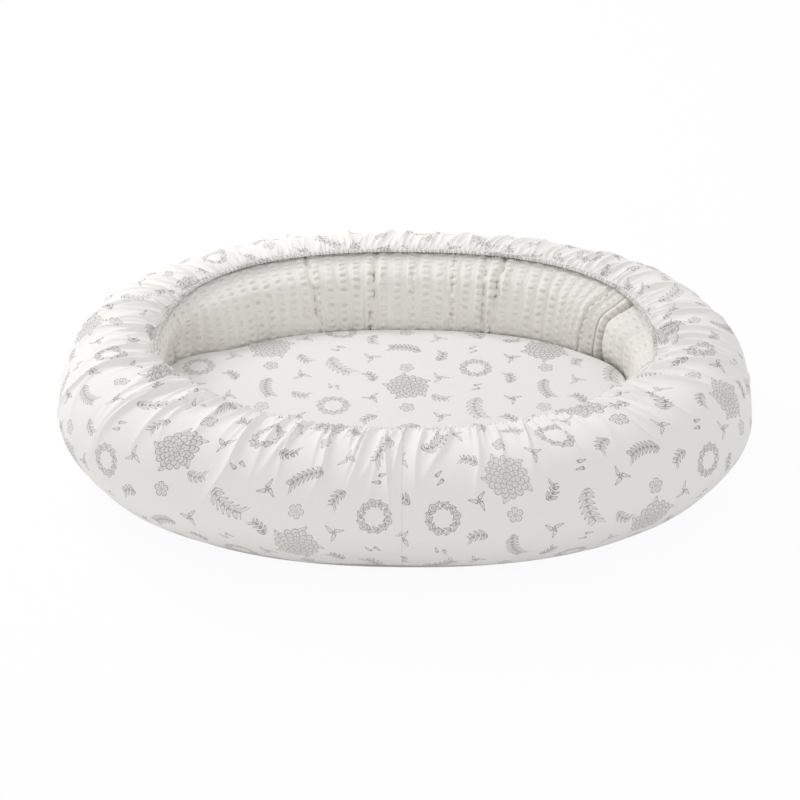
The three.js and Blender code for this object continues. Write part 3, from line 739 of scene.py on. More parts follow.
def crinkle_cotton(name):
    """Seersucker cotton, undyed. Its slack threads stand up in small puckers, so it is matt,
    slightly warm and finely crumpled, with painted shade in its hollows and most of all in its creases."""
    nest = bpy.context.scene.nest
    material, tree = new_material(name)
    place = cloth_place(tree, "cloth")
    crumple = slubs(tree, place, 5 * MM, 2.2 * MM)
    threads = slubs(tree, place, 1.2 * MM, 16 * MM)
    height = add(tree, MATH, [crumple, threads], operation="ADD")
    bump = add(tree, "ShaderNodeBump", {"Strength": 0.5, "Distance": 0.7 * MM, "Height": height})
    mixed = tuple(nest.crinkle)
    # Each painted shade: the value stored in the mesh, the levels where it starts and ends, how
    # much it covers at most, and its colour
    for value, start, end, most, code in (
        ("hollow_depth_and_shade", 0.1, 0.9, 0.45, "#B9B3AA"),
        ("crease_shade", 0.35, 1.1, 0.8, "#8E877C"),
    ):
        level = add(tree, "ShaderNodeAttribute", attribute_name=value).outputs["Fac"]
        share = add(tree, "ShaderNodeMapRange", [level, start, end, 0.0, most])
        mixed = add(tree, "ShaderNodeMix", {0: share, 6: mixed, 7: srgb(code)}, data_type="RGBA")
    finish_material(tree, mixed, 0.95, bump, Sheen_Weight=0.1)
    return material


def plain(name, code, roughness):
    """A finish of one colour with the fine unevenness that a real surface has."""
    material, tree = new_material(name)
    place = cloth_place(tree, "")
    grain = add(tree, "ShaderNodeTexNoise", {"Vector": place, "Scale": 900.0, "Detail": 3.0})
    colour = srgb(code)
    mixed = add(tree, "ShaderNodeMix", {0: grain, 6: toned(colour, 0.94), 7: colour}, data_type="RGBA")
    bump = add(tree, "ShaderNodeBump", {"Strength": 0.3, "Distance": 0.1 * MM, "Height": grain})
    finish_material(tree, mixed, roughness, bump)
    return material


# The stage

CAMERA_RISE = math.radians(33)
CAMERA_TURN = math.radians(0.8)
CAMERA_DISTANCE = 3.0
CAMERA_TARGET = Vector((0, 0, 80 * MM))
PIXELS = 800
FOCAL_PIXELS = 2313
MIDDLE_PIXEL = (405.7, 397.6)
SENSOR = 36.0
WORLD_LIGHT = 0.79
LAMP_POWER = 19.0
LAMP_SIZE = 0.9
LAMP_PLACE = (-1.3, 1.2, 1.7)
FLOOR_HALF = 6.0
FLOOR_GLOW = 0.93


class NEST_OT_stage(Operator):
    """Adds the floor, the soft studio light and the camera"""

    bl_idname = "nest.stage"
    bl_label = "Stage"

    def execute(self, context):
        make_camera(context.scene)
        make_light(context.scene)
        make_floor()
        return {"FINISHED"}


def make_camera(scene):
    camera = bpy.data.cameras.new("camera")
    camera.sensor_width = SENSOR
    camera.lens = FOCAL_PIXELS / PIXELS * SENSOR
    camera.shift_x = (PIXELS / 2 - MIDDLE_PIXEL[0]) / PIXELS
    camera.shift_y = (MIDDLE_PIXEL[1] - PIXELS / 2) / PIXELS
    obj = bpy.data.objects.new("camera", camera)
    flat = math.cos(CAMERA_RISE)
    back = Vector((math.sin(CAMERA_TURN) * flat, -math.cos(CAMERA_TURN) * flat, math.sin(CAMERA_RISE)))
    obj.location = CAMERA_TARGET + back * CAMERA_DISTANCE
    obj.rotation_mode = "QUATERNION"
    obj.rotation_quaternion = (-back).to_track_quat("-Z", "Y")
    scene.collection.objects.link(obj)
    scene.camera = obj


def make_light(scene):
    scene.view_settings.view_transform = "Standard"
    world = bpy.data.worlds.new("studio")
    scene.world = world
    world.use_nodes = True
    tree = world.node_tree
    tree.nodes.clear()
    path = add(tree, "ShaderNodeLightPath")
    rays = [path.outputs["Is Camera Ray"], path.outputs["Is Glossy Ray"]]
    seen = add(tree, MATH, rays, operation="MAXIMUM")
    strength = add(tree, "ShaderNodeMapRange", [seen, 0.0, 1.0, WORLD_LIGHT, 1.0])
    background = add(tree, "ShaderNodeBackground", [WHITE, strength])
    add(tree, "ShaderNodeOutputWorld", [background])
    lamp = bpy.data.lights.new("softbox", "AREA")
    lamp.shape = "SQUARE"
    lamp.size = LAMP_SIZE
    lamp.energy = LAMP_POWER
    obj = bpy.data.objects.new("softbox", lamp)
    obj.location = LAMP_PLACE
    obj.rotation_mode = "QUATERNION"
    obj.rotation_quaternion = (-obj.location).to_track_quat("-Z", "Y")
    scene.collection.objects.link(obj)


def make_floor():
    material, tree = new_material("studio_floor")
    path = add(tree, "ShaderNodeLightPath")
    paper = add(tree, "ShaderNodeBsdfDiffuse", [srgb("#F8F8F8")])
    glow = add(tree, "ShaderNodeEmission", [WHITE, 1.0])
    share = add(tree, MATH, [path.outputs["Is Camera Ray"], FLOOR_GLOW], operation="MULTIPLY")
    mixed = add(tree, "ShaderNodeMixShader", [share, paper, glow])
    add(tree, "ShaderNodeOutputMaterial", [mixed])
    half = FLOOR_HALF
    corners = [(-half, -half, 0), (half, -half, 0), (half, half, 0), (-half, half, 0)]
    new_object("floor", corners, [(0, 1, 2, 3)], material)


# The cover

COVER_STATIONS = 1150
COVER_STEPS = 64
# The rows lie closer together near the rim, and the first lies under a share of the hem's width
COVER_SPREAD = 1.25
HEM_OVERLAP = 0.35
INNER_STEP = 4
CREST_LIMIT = 1.8 * MM
SEAM_DEPTH = 0.7 * MM
SEAM_WIDTH = 1.6 * MM
FOOT_SEAM_RISE = 26 * MM
FOOT_SEAM_DEPTH = 0.9 * MM
LEAN = 0.3
LEAN_SHIFT = 0.06
BACK_CALM = 0.42
BACK_CALM_REACH = 260 * MM
# How far the folds waver sideways, and the size of that wave
WAVER = 1.8 * MM
WAVER_SIZE = 90 * MM
# The cloth's slow swellings: size, depth below the rim where they are full, height and seed
SWELLINGS = (
    (150 * MM, 50 * MM, 1.3 * MM, SEED),
    (60 * MM, 30 * MM, 0.35 * MM, SEED + 2),
)
# Folds stand higher where the cloth is drawn in and lower where it is stretched, within limits
CROWDING = 0.5
CROWDING_LIMITS = (0.8, 1.2)
# Share of the gathers, and their length, height and width
FOLD_ORDERS = (
    (1.25, (12 * MM, 40 * MM), 3.4 * MM, 1.6 * MM),
    (0.6, (30 * MM, 90 * MM), 5.6 * MM, 2.2 * MM),
    (0.34, (70 * MM, 180 * MM), 7.0 * MM, 2.8 * MM),
    (0.13, (140 * MM, 260 * MM), 8.4 * MM, 4.2 * MM),
)
# The longest folds of the front: distance from the middle seam, length, lean and bend per metre
FRONT_FOLDS = (
    (-316 * MM, 240 * MM, -0.20, 0.0),
    (-273 * MM, 175 * MM, -0.27, 0.4),
    (-233 * MM, 160 * MM, -0.08, 0.0),
    (-183 * MM, 270 * MM, 0.10, -1.67),
    (-130 * MM, 130 * MM, -0.05, -1.5),
    (-89 * MM, 195 * MM, 0.12, -1.68),
    (-36 * MM, 130 * MM, -0.30, 0.0),
    (-18 * MM, 235 * MM, -0.05, 0.8),
    (62 * MM, 130 * MM, -0.20, -2.0),
    (92 * MM, 170 * MM, -0.10, 0.0),
    (150 * MM, 120 * MM, 0.10, 1.0),
    (241 * MM, 180 * MM, 0.35, 0.5),
    (300 * MM, 150 * MM, 0.40, 0.0),
)
FRONT_REACH = 320 * MM
# What chance does to the folds, as shares of the values above, or as a spread
PLACE_SPREAD = 0.35
LEAN_SPREAD = 0.1
BEND_SPREAD = 1.2
HEIGHT_SHARES, WIDTH_SHARES, SIDE_SHARES = (0.45, 1.15), (0.7, 1.35), (0.4, 1.6)
FRONT_HEIGHTS, FRONT_WIDTHS, FRONT_SIDES = (0.85, 1.1), (0.6, 0.9), (0.5, 1.5)
# A fold's section: its width at the rim and how much it widens, how round its crest is, where
# along it the crest is full and how far it then stands up, and how far out it is still worked out
FOLD_START = 0.6
FOLD_WIDENING = 1.1
FOLD_ROUND = 0.3
FOLD_FULL = 0.14
FOLD_LIFT = 1.2
FOLD_WIDTHS = 7
FOLD_MARGIN = 20 * MM
LUMP_WAVES = 14
LUMP_SIZES = (0.6, 1.8)


def fold_lean(edge, distance):
    """The folds lean away from the middle of the front and of the back."""
    turn = 4 * math.pi * (distance / edge.perimeter - LEAN_SHIFT)
    return -LEAN * math.sin(turn)


def draw_folds(edge, gathers):
    """Every fold of the cover: place, length, lean, bend, height, width and steeper side."""
    draw = np.random.default_rng(SEED)
    folds = []
    for share, (low, high), height, width in FOLD_ORDERS:
        count = int(gathers * share)
        pitch = edge.perimeter / count
        longest = share == FOLD_ORDERS[-1][0]
        for k in range(count):
            place = (k + draw.uniform(-PLACE_SPREAD, PLACE_SPREAD)) * pitch
            length = draw.uniform(low, high)
            lean = fold_lean(edge, place) + draw.normal(0, LEAN_SPREAD)
            bend = draw.normal(0, BEND_SPREAD)
            tall = height * draw.uniform(*HEIGHT_SHARES)
            wide = width * draw.uniform(*WIDTH_SHARES)
            side = draw.uniform(*SIDE_SHARES)
            if longest and abs(place - edge.front_seam) < FRONT_REACH:
                continue
            folds.append((place, length, lean, bend, tall, wide, side))
    for offset, length, lean, bend in FRONT_FOLDS:
        tall = FOLD_ORDERS[-1][2] * draw.uniform(*FRONT_HEIGHTS)
        wide = FOLD_ORDERS[-1][3] * draw.uniform(*FRONT_WIDTHS)
        side = draw.uniform(*FRONT_SIDES)
        folds.append((edge.front_seam + offset, length, lean, bend, tall, wide, side))
    return folds


def fold_relief(edge, distance, depth, scale, gathers):
    """Height of the folds on a grid, by distance along the edge and depth below the rim. Adding
    the cubes keeps the higher one where folds meet, without a step between them."""
    total = np.zeros_like(depth)
    line = distance.mean(1)
    for place, length, lean, bend, tall, wide, side in draw_folds(edge, gathers):
        reach = wide * FOLD_WIDTHS + (abs(lean) + abs(bend) * length) * length + FOLD_MARGIN
        for spot in (place - edge.perimeter, place, place + edge.perimeter):
            rows = slice(*np.searchsorted(line, [spot - reach, spot + reach]))
            if rows.start >= rows.stop:
                continue
            d = depth[rows]
            down = np.clip(d / length, 0, 1)
            centre = spot + lean * d + bend * d * d
            away = (distance[rows] - centre) * scale[rows]
            spread = wide * (FOLD_START + FOLD_WIDENING * down)
            share = np.where(away > 0, away / (spread * side), away / (spread * (2 - side)))
            rise = smooth(down / FOLD_FULL) * (1 - smooth(down)) * FOLD_LIFT
            total[rows] += (tall * rise * crest(share, FOLD_ROUND)) ** 3
    return np.cbrt(total)


def lumps(points, size, seed):
    """Slow unevenness of stuffed cloth, about -1 to 1, from a few random waves."""
    draw = np.random.default_rng(seed)
    total = np.zeros(points.shape[:-1])
    for _ in range(LUMP_WAVES):
        direction = draw.normal(size=3)
        direction *= 2 * math.pi / (size * draw.uniform(*LUMP_SIZES) * np.linalg.norm(direction))
        total += np.sin(points @ direction + draw.uniform(0, 2 * math.pi))
    return total / LUMP_WAVES ** 0.5


def cover_grid(edge, start, nest):
    """Outer points of one panel, from foot to rim, with the cloth's own coordinates."""
    distance = start + np.linspace(0, edge.perimeter / 2, COVER_STATIONS + 1)[:, None]
    share = np.linspace(0, 1, COVER_STEPS + 1)[None, :] ** COVER_SPREAD
    rim = edge.rim(distance) - nest.hem_width * HEM_OVERLAP / edge.half
    angle = mix(rim, edge.foot, share)
    distance = distance + 0 * angle
    room = edge.fold_room(np.broadcast_to(share, angle.shape))
    base = edge.surface(distance, angle, room * VALLEY_SHARE)
    rows = np.linalg.norm(np.diff(base, axis=1), axis=-1)
    depth = np.concatenate([np.zeros((len(distance), 1)), np.cumsum(rows, axis=1)], 1)
    step = distance[1, 0] - distance[0, 0]
    scale = np.linalg.norm(np.gradient(base, axis=0), axis=-1) / step
    waver = lumps(base, WAVER_SIZE, SEED + 1) * WAVER
    relief = fold_relief(edge, distance + waver, depth, scale, nest.gathers)
    relief *= np.clip(1 + CROWDING - CROWDING * scale, *CROWDING_LIMITS)
    calm = 1 - BACK_CALM * smooth(base[..., 1] / BACK_CALM_REACH)
    relief *= calm
    swell = 0
    for size, full, height, seed in SWELLINGS:
        swell = swell + lumps(base, size, seed) * smooth(depth / full) * height
    to_foot = depth[:, -1:] - depth
    to_side = np.minimum(distance - start, start + edge.perimeter / 2 - distance)
    seam = SEAM_DEPTH * np.exp(-(to_side / SEAM_WIDTH) ** 2)
    foot_seam = FOOT_SEAM_DEPTH * np.exp(-((to_foot - FOOT_SEAM_RISE) / SEAM_WIDTH) ** 2)
    inset = room * VALLEY_SHARE * calm - relief - swell + seam + foot_seam
    inset = np.maximum(inset, -CREST_LIMIT)
    points = edge.surface(distance, angle, inset)
    widths = np.linalg.norm(np.diff(points, axis=0), axis=-1)
    run = np.concatenate([np.zeros((1, points.shape[1])), np.cumsum(widths, axis=0)])
    across = run / run[-1] * run[-1].max()
    uv = np.stack([start + across, to_foot], -1)
    return points[:, ::-1], uv[:, ::-1]


class NEST_OT_cover(Operator):
    """Makes the two gathered side panels of the cover and its flat base"""

    bl_idname = "nest.cover"
    bl_label = "Cover"

    def execute(self, context):
        nest = context.scene.nest
        edge = nest_edge()
        cotton = printed_cotton("printed_percale", "cloth", print_group())
        half = edge.perimeter / 2
        starts = (("right", edge.front_seam - 2 * half), ("left", edge.front_seam - half))
        for side, start in starts:
            points, uv = cover_grid(edge, start, nest)
            verts, faces = shell(points, nest.cloth, INNER_STEP)
            both = np.concatenate([uv.reshape(-1, 2), uv[:, ::INNER_STEP].reshape(-1, 2)])
            obj = new_object(f"cover_{side}", verts, faces, cotton, both)
            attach(obj, NEST)
            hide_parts(f"cover_{side}_panel")
        make_base(edge)
        return {"FINISHED"}


BASE_STATIONS = 320
BASE_THICKNESS = 1.5 * MM
BASE_ROUND = 0.5 * MM
BASE_BORDER = 12 * MM


def make_base(edge):
    """The flat bottom of the cover, a cloth plate with a rounded edge."""
    foot = float(edge.section(np.array(edge.foot), 0)[0])
    distance = edge.perimeter * np.arange(BASE_STATIONS)[:, None] / BASE_STATIONS
    top = BASE_THICKNESS
    profile = np.array([
        (foot - BASE_BORDER, 0), (foot - BASE_ROUND, 0), (foot, BASE_ROUND),
        (foot, top - BASE_ROUND), (foot - BASE_ROUND, top), (foot - BASE_BORDER, top),
    ])
    grid = edge.place(distance + 0 * profile[:, 0], profile[:, 0], profile[:, 1] + 0 * distance)
    columns = len(profile)
    faces = grid_faces(BASE_STATIONS, columns, wrap_rows=True).tolist()
    faces.append([k * columns for k in range(BASE_STATIONS)][::-1])
    faces.append([(k + 1) * columns - 1 for k in range(BASE_STATIONS)])
    percale = plain_cloth("undyed_percale", "#F1EFEC")
    obj = new_object("base_cloth", grid, faces, percale)
    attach(obj, NEST)
    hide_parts("cover_base")


# The rim

HEM_STATIONS = 2000
HEM_SIDES = 14
HEM_INSET = 3.4 * MM
HEM_CLOTH = 0.6 * MM
# A small turn of the section, to find the way along it
HEM_PROBE = math.radians(1)
# The hem's cotton is drawn darker than the cover's by this share, as painted shade
HEM_PAINTED_SHADE = 0.95
# How square the sections of the hem and of the elastic are, and how rough the hem's gathers
HEM_EXPONENT = 2.6
ELASTIC_EXPONENT = 6
HEM_ROUGH = 0.45
# The gathers lie closer and wider in turn, over so many of them, and swell less sideways than up
HEM_BEAT = 7
HEM_SIDEWAYS = 0.2


def hem_frame(edge, distance):
    """Middle of the hem's section, the way inwards over the roll, and the way up from it."""
    rim = edge.rim(distance)
    outward, height = edge.section(rim, HEM_INSET)
    ahead_out, ahead_up = edge.section(rim + HEM_PROBE, HEM_INSET)
    way = np.stack([ahead_out - outward, ahead_up - height], -1)
    way /= np.linalg.norm(way, axis=-1, keepdims=True)
    lift = np.stack([way[..., 1], -way[..., 0]], -1)
    return np.stack([outward, height], -1), way, lift


def hem_grid(edge, nest, width, height, exponent, rough):
    """Points of a band along the rim, gathered as roughly as said, with its own coordinates."""
    distance = edge.perimeter * np.arange(HEM_STATIONS)[:, None] / HEM_STATIONS
    turn = -2 * math.pi * np.arange(HEM_SIDES)[None, :] / HEM_SIDES
    middle, way, lift = hem_frame(edge, distance)
    phase = 2 * math.pi * distance / edge.perimeter * nest.gathers
    waver = 1 - 2 * np.abs(np.sin((phase + 2 * np.sin(phase / HEM_BEAT)) / 2))
    radius = oval(turn, exponent)
    along = width / 2 * radius * np.cos(turn) * (1 + HEM_SIDEWAYS * rough * waver)
    up = height / 2 * radius * np.sin(turn) * (1 + rough * waver)
    spot = middle + way * along[..., None] + lift * up[..., None]
    girth = np.cumsum(np.hypot(np.gradient(along, axis=1), np.gradient(up, axis=1)), axis=1)
    uv = np.stack([distance + 0 * along, girth], -1)
    return edge.place(distance + 0 * along, spot[..., 0], spot[..., 1]), uv


# A stitch's arc over the hem, and how much the slant of the stitches differs
ARC_START = math.radians(-10)
ARC_SWEEP = math.radians(200)
SLANT_SPREAD = 0.12


def stitch_tree():
    """Geometry Nodes tree that lays a slanted thread over the hem at each stitch."""
    tree, given, result = new_group(
        "overlock_stitches", "GeometryNodeTree",
        [("Geometry", "NodeSocketGeometry", None), ("Stitch Spacing", FLOAT, 2.6 * MM),
         ("Hem Width", FLOAT, 9 * MM), ("Hem Thickness", FLOAT, 5 * MM), ("Thread", FLOAT, 0.55 * MM),
         ("Slant", FLOAT, 0.25), ("Seed", "NodeSocketInt", SEED), ("Material", "NodeSocketMaterial", None)],
        [("Geometry", "NodeSocketGeometry")],
    )
    line = add(tree, "GeometryNodeMeshToCurve", [given["Geometry"]])
    even = add(
        tree, "GeometryNodeResampleCurve", {"Curve": line, "Length": given["Stitch Spacing"]}, mode="LENGTH",
    )
    arc = add(
        tree, "GeometryNodeCurveArc",
        {"Resolution": 5, "Radius": 1.0, "Start Angle": ARC_START, "Sweep Angle": ARC_SWEEP},
    )
    thread = add(tree, "GeometryNodeCurvePrimitiveCircle", {"Resolution": 3, "Radius": given["Thread"]})
    across = add(tree, MATH, [given["Hem Width"], 0.5], operation="MULTIPLY")
    up = add(tree, MATH, [given["Hem Thickness"], 0.5], operation="MULTIPLY")
    size = add(tree, "ShaderNodeCombineXYZ", [across, up, 1.0])
    sized = add(tree, "GeometryNodeTransform", {"Geometry": arc, "Scale": size})
    stood = add(tree, "GeometryNodeTransform", {"Geometry": sized, "Rotation": (math.radians(90), 0.0, 0.0)})
    loop = add(tree, "GeometryNodeCurveToMesh", {"Curve": stood, "Profile Curve": thread, "Fill Caps": True})
    lift = add(tree, "GeometryNodeInputNamedAttribute", {"Name": "lift"}, data_type="FLOAT_VECTOR")
    along = add(tree, "GeometryNodeInputTangent")
    spread = {"Min": -SLANT_SPREAD, "Max": SLANT_SPREAD, "Seed": given["Seed"]}
    chance = add(tree, "FunctionNodeRandomValue", spread, data_type="FLOAT")
    slant = add(tree, MATH, [given["Slant"], chance], operation="ADD")
    upright = add(tree, "FunctionNodeAlignRotationToVector", {"Vector": lift}, axis="Z")
    facing = add(
        tree, "FunctionNodeAlignRotationToVector", {"Rotation": upright, "Vector": along},
        axis="Y", pivot_axis="Z",
    )
    turn = add(tree, "FunctionNodeAxisAngleToRotation", {"Axis": (0.0, 0.0, 1.0), "Angle": slant})
    turned = add(
        tree, "FunctionNodeRotateRotation", {"Rotation": facing, "Rotate By": turn}, rotation_space="LOCAL",
    )
    laid = add(tree, "GeometryNodeInstanceOnPoints", {"Points": even, "Instance": loop, "Rotation": turned})
    real = add(tree, "GeometryNodeRealizeInstances", [laid])
    dressed = add(tree, "GeometryNodeSetMaterial", {"Geometry": real, "Material": given["Material"]})
    tree.links.new(dressed.outputs[0], result["Geometry"])
    return tree


def make_stitches(edge, nest):
    """The overlock thread over the hem."""
    count = HEM_STATIONS
    distance = edge.perimeter * np.arange(count) / count
    middle, way, lift = hem_frame(edge, distance)
    line = edge.place(distance, middle[:, 0], middle[:, 1])
    tip = middle + lift * MM
    up = edge.place(distance, tip[:, 0], tip[:, 1]) - line
    mesh = bpy.data.meshes.new("overlock")
    mesh.from_pydata(line, [(k, (k + 1) % count) for k in range(count)], [])
    store(mesh, "lift", up)
    obj = bpy.data.objects.new("overlock", mesh)
    bpy.context.scene.collection.objects.link(obj)
    thread = plain("polyester_thread", "#CAC5BE", 0.6)
    sizes = {"Stitch Spacing": nest.stitch_spacing, "Hem Width": nest.hem_width}
    sizes["Hem Thickness"] = nest.hem_height
    run_tree(obj, stitch_tree(), Material=thread, **sizes)
    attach(obj, NEST)


class NEST_OT_rim(Operator):
    """Makes the hem over the elastic, with its overlock stitches"""

    bl_idname = "nest.rim"
    bl_label = "Rim"

    def execute(self, context):
        nest = context.scene.nest
        edge = nest_edge()
        sizes = (nest.hem_width, nest.hem_height)
        points, uv = hem_grid(edge, nest, *sizes, HEM_EXPONENT, HEM_ROUGH)
        faces = grid_faces(HEM_STATIONS, HEM_SIDES, wrap_rows=True, wrap_columns=True)
        drawing = bpy.data.node_groups["botanical_print"]
        cotton = printed_cotton("hem_percale", "cloth", drawing, HEM_PAINTED_SHADE)
        obj = new_object("rim_hem", points, faces, cotton, uv.reshape(-1, 2))
        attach(obj, NEST)
        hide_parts("rim_casing")
        make_stitches(edge, nest)
        sizes = (nest.hem_width - 2 * HEM_CLOTH, nest.hem_height / 2 - HEM_CLOTH)
        band = hem_grid(edge, nest, *sizes, ELASTIC_EXPONENT, 0)[0]
        elastic = new_object("elastic_band", band, faces, plain("woven_elastic", "#F2F0EE", 0.8))
        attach(elastic, NEST)
        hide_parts("rim_elastic")
        return {"FINISHED"}


# The roll

ROLL_STATIONS = 1100
ROLL_SHOWN_STEPS = 112
ROLL_HIDDEN_STEPS = 20
ROLL_INNER_STEP = 8
CREASE_WIDTH = 1.6 * MM
CREASE_DEEPEST = 9 * MM
LANE_BULGE = 2.2 * MM
CREASE_WAVER = 1.3 * MM
END_PUSH = 25 * MM
END_PUFF = 9 * MM
END_PUFF_PLACE = 42 * MM
END_PUFF_REACH = 34 * MM
ROLL_BACK_ROUND = 5 * MM
ROLL_FRONT_ROUND = 11 * MM
END_POWER = 2.5
END_STEPS = 44
END_CRINKLE = 0.75
END_EASE = 0.4 * MM
# Points closer together than this are one, as at the tip of a dome
POLE_SIZE = 0.01 * MM
# Puckers fade out over this stretch before the smooth front end
CRINKLE_FADE = 20 * MM
# Section angles, in degrees: the first column, and the last that shows
SHOWN_START = 104
SHOWN_END = 216
# Stations lie closer together at a crease, so many times and so far round it
FINE_STATIONS = 6000
CREASE_DENSITY = 2.4
CREASE_ZONE = 12 * MM
# A crease's line is jagged in two waves: size, and radians that each starts later in a metre
JAGS = ((2.9 * MM, 90), (6.1 * MM, 200))
# Its section in widths of the crease: how round its bottom is, and the height, place and width
# of the puffs beside it. One that ends early fades out past its share of the height
CREASE_ROUND = 0.25
CREASE_PUFF = 0.34
CREASE_PUFF_PLACE = 5.5
CREASE_PUFF_WIDTH = 3.2
CREASE_END = 1.2
CREASE_END_FADE = 0.4
# Creases and lumps are this shallow on the roll's hidden outer side
HIDDEN_RELIEF = 0.2
# The puff at the front end and the lanes' bulge, in radians of the section: how far past the rim
# they are full, where they end, and how far before that they start to fade
PUFF_ZONE, PUFF_LAST, PUFF_FADE = 0.4, math.radians(184), 0.3
LANE_ZONE, LANE_LAST, LANE_FADE = 0.3, math.radians(230), 0.5
# The share of a lane's bulge that stands out, while the rest sinks in between two lanes, and how
# much faster than the slant the bulge fades out before the front end
LANE_LEVEL = 0.45
LANE_HASTE = 5
# The stuffing's unevenness: size, height and seed
ROLL_LUMPS = ((120 * MM, 1.2 * MM, SEED + 3), (45 * MM, 0.4 * MM, SEED + 4))
# The filling lies under the cloth by a depth, and is drawn in a little towards its middle
FILLING_SIDES = 40
FILLING_STATIONS = 220
FILLING_DEPTH = 2.4 * MM
FILLING_END = 3 * MM
FILLING_SHARE = 0.97
# Place along the roll, lean, depth and where it ends, in shares of the height
CREASES = (
    (74 * MM, 0.05, 9 * MM, 1.0),
    (259 * MM, 0.10, 9 * MM, 1.0),
    (286 * MM, -0.04, 7 * MM, 1.0),
    (331 * MM, 0.02, 5 * MM, 1.0),
    (383 * MM, 0.12, 3 * MM, 0.7),
    (440 * MM, 0.10, 8 * MM, 1.0),
    (540 * MM, -0.08, 7 * MM, 1.0),
    (790 * MM, 0.05, 4 * MM, 1.0),
    (1016 * MM, 0.03, 7 * MM, 1.0),
    (1240 * MM, 0.03, 5 * MM, 1.0),
    (1486 * MM, -0.03, 7 * MM, 1.0),
)


def roll_angles():
    """Section angles of the roll's columns, close together where it shows."""
    shown = np.linspace(SHOWN_START, SHOWN_END, ROLL_SHOWN_STEPS, endpoint=False)
    hidden = np.linspace(SHOWN_END, SHOWN_START + 360, ROLL_HIDDEN_STEPS, endpoint=False)
    return np.radians(np.concatenate([shown, hidden]))


def roll_stations(low, high):
    """Distances along the roll, closer together at its creases."""
    fine = np.linspace(low, high, FINE_STATIONS)
    density = np.ones_like(fine)
    for place, *_ in CREASES:
        density += CREASE_DENSITY * np.exp(-((fine - place) / CREASE_ZONE) ** 2)
    share = np.cumsum(density)
    share = (share - share[0]) / (share[-1] - share[0])
    return np.interp(np.linspace(0, 1, ROLL_STATIONS), share, fine)


def roll_points(edge, distance, angle, depth, full=1.0):
    """Points of the roll's surface, or of a surface that lies under it by a depth, with the
    cloth's own coordinates and the share of a crease in each, which sets the painted crease shade."""
    turned = np.where(angle > math.radians(INNER_TURN), angle - 2 * math.pi, angle)
    station = ROLL_JOINT + distance
    rim = edge.rim(station)
    share = np.clip((rim - turned) / (rim - edge.foot), 0, 1)
    shown = smooth((turned - rim - math.radians(RIM_SHOW)) / math.radians(RIM_BLEND))
    covered = (edge.fold_room(share) + ROLL_EASE) * (1 - shown)
    below = (turned - rim) * edge.half
    pinch = np.zeros(np.broadcast(distance, angle).shape)
    # Each crease's share, which the seersucker paints as shade into its colour
    crease_shade = pinch.copy()
    for place, lean, deep, ends in CREASES:
        jagged = sum(np.sin(below / size + shift * place) for size, shift in JAGS)
        away = np.abs(distance - place - lean * below - CREASE_WAVER * jagged) / CREASE_WIDTH
        groove = crest(away, CREASE_ROUND)
        puff = CREASE_PUFF * np.exp(-((away - CREASE_PUFF_PLACE) / CREASE_PUFF_WIDTH) ** 2)
        past = (below / edge.half - CREASE_END * ends) / CREASE_END_FADE
        stop = 1 - smooth(past) if ends < 1 else 1
        pinch += deep * (groove - puff) * stop
        crease_shade += deep / CREASE_DEEPEST * groove * stop
    facing = mix(HIDDEN_RELIEF, 1, np.maximum(0, -np.cos(angle)))
    to_front = edge.roll_length + END_PUSH - distance
    slant = ROLL_SLANT * (1 - smooth(np.minimum(distance - END_PUSH, to_front) / SLANT_ZONE))
    puffed = np.exp(-((to_front - END_PUFF_PLACE) / END_PUFF_REACH) ** 2)
    puffed = END_PUFF * puffed * smooth((angle - rim) / PUFF_ZONE)
    puffed = puffed * smooth((PUFF_LAST - angle) / PUFF_FADE)
    off_lane = np.abs(2 * np.mod(distance / edge.lane, 1) - 1)
    bulge = LANE_BULGE * (LANE_LEVEL - off_lane ** 3) * smooth((angle - rim) / LANE_ZONE)
    bulge = bulge * smooth((LANE_LAST - angle) / LANE_FADE)
    bulge = bulge * smooth((to_front - FRONT_END_LENGTH - END_PUSH) / SLANT_ZONE * LANE_HASTE)
    inset = covered + pinch * facing + depth - puffed - bulge
    given = np.where(np.cos(angle) < 0, smooth((angle - rim) / math.radians(PRESS_ANGLE)), 0)
    outward, height = edge.section(angle, inset, edge.half - edge.press(station) * given)
    outward = outward * full
    height = mix(edge.middle, height, full)
    height = np.maximum(height, FOOT_HEIGHT + depth)
    points = edge.place(station + slant * outward, outward, height)
    uneven = sum(lumps(points, size, seed) * rise for size, rise, seed in ROLL_LUMPS)
    outward = outward * (1 + uneven * facing * full / edge.half)
    points = edge.place(station + slant * outward, outward, height)
    around = edge.half * (angle - math.radians(SHOWN_START)) + 0 * distance
    return points, np.stack([distance + 0 * angle, around], -1), crease_shade


# How far the rows of puckers waver, in rows, and how many of those waves and of the fine
# crumples there are in a metre
ROW_WAVER = 1.1
WAVES_PER_METRE = 45.0
CRUMPLES_PER_METRE = 160.0
# A pucker fades out between two shares of its half width, and is as strong as chance says
PUCKER_FADE = (1.35, 0.6)
PUCKER_STRENGTHS = (0.45, 1.2)
# How deep the tuck between two lanes is, and how high a lane stands up, in depths of a pucker
TUCK_SHARE = 0.5
LANE_RISE = 0.45
# The middle of Blender's noise, of a row and of a lane
MIDDLE = 0.5


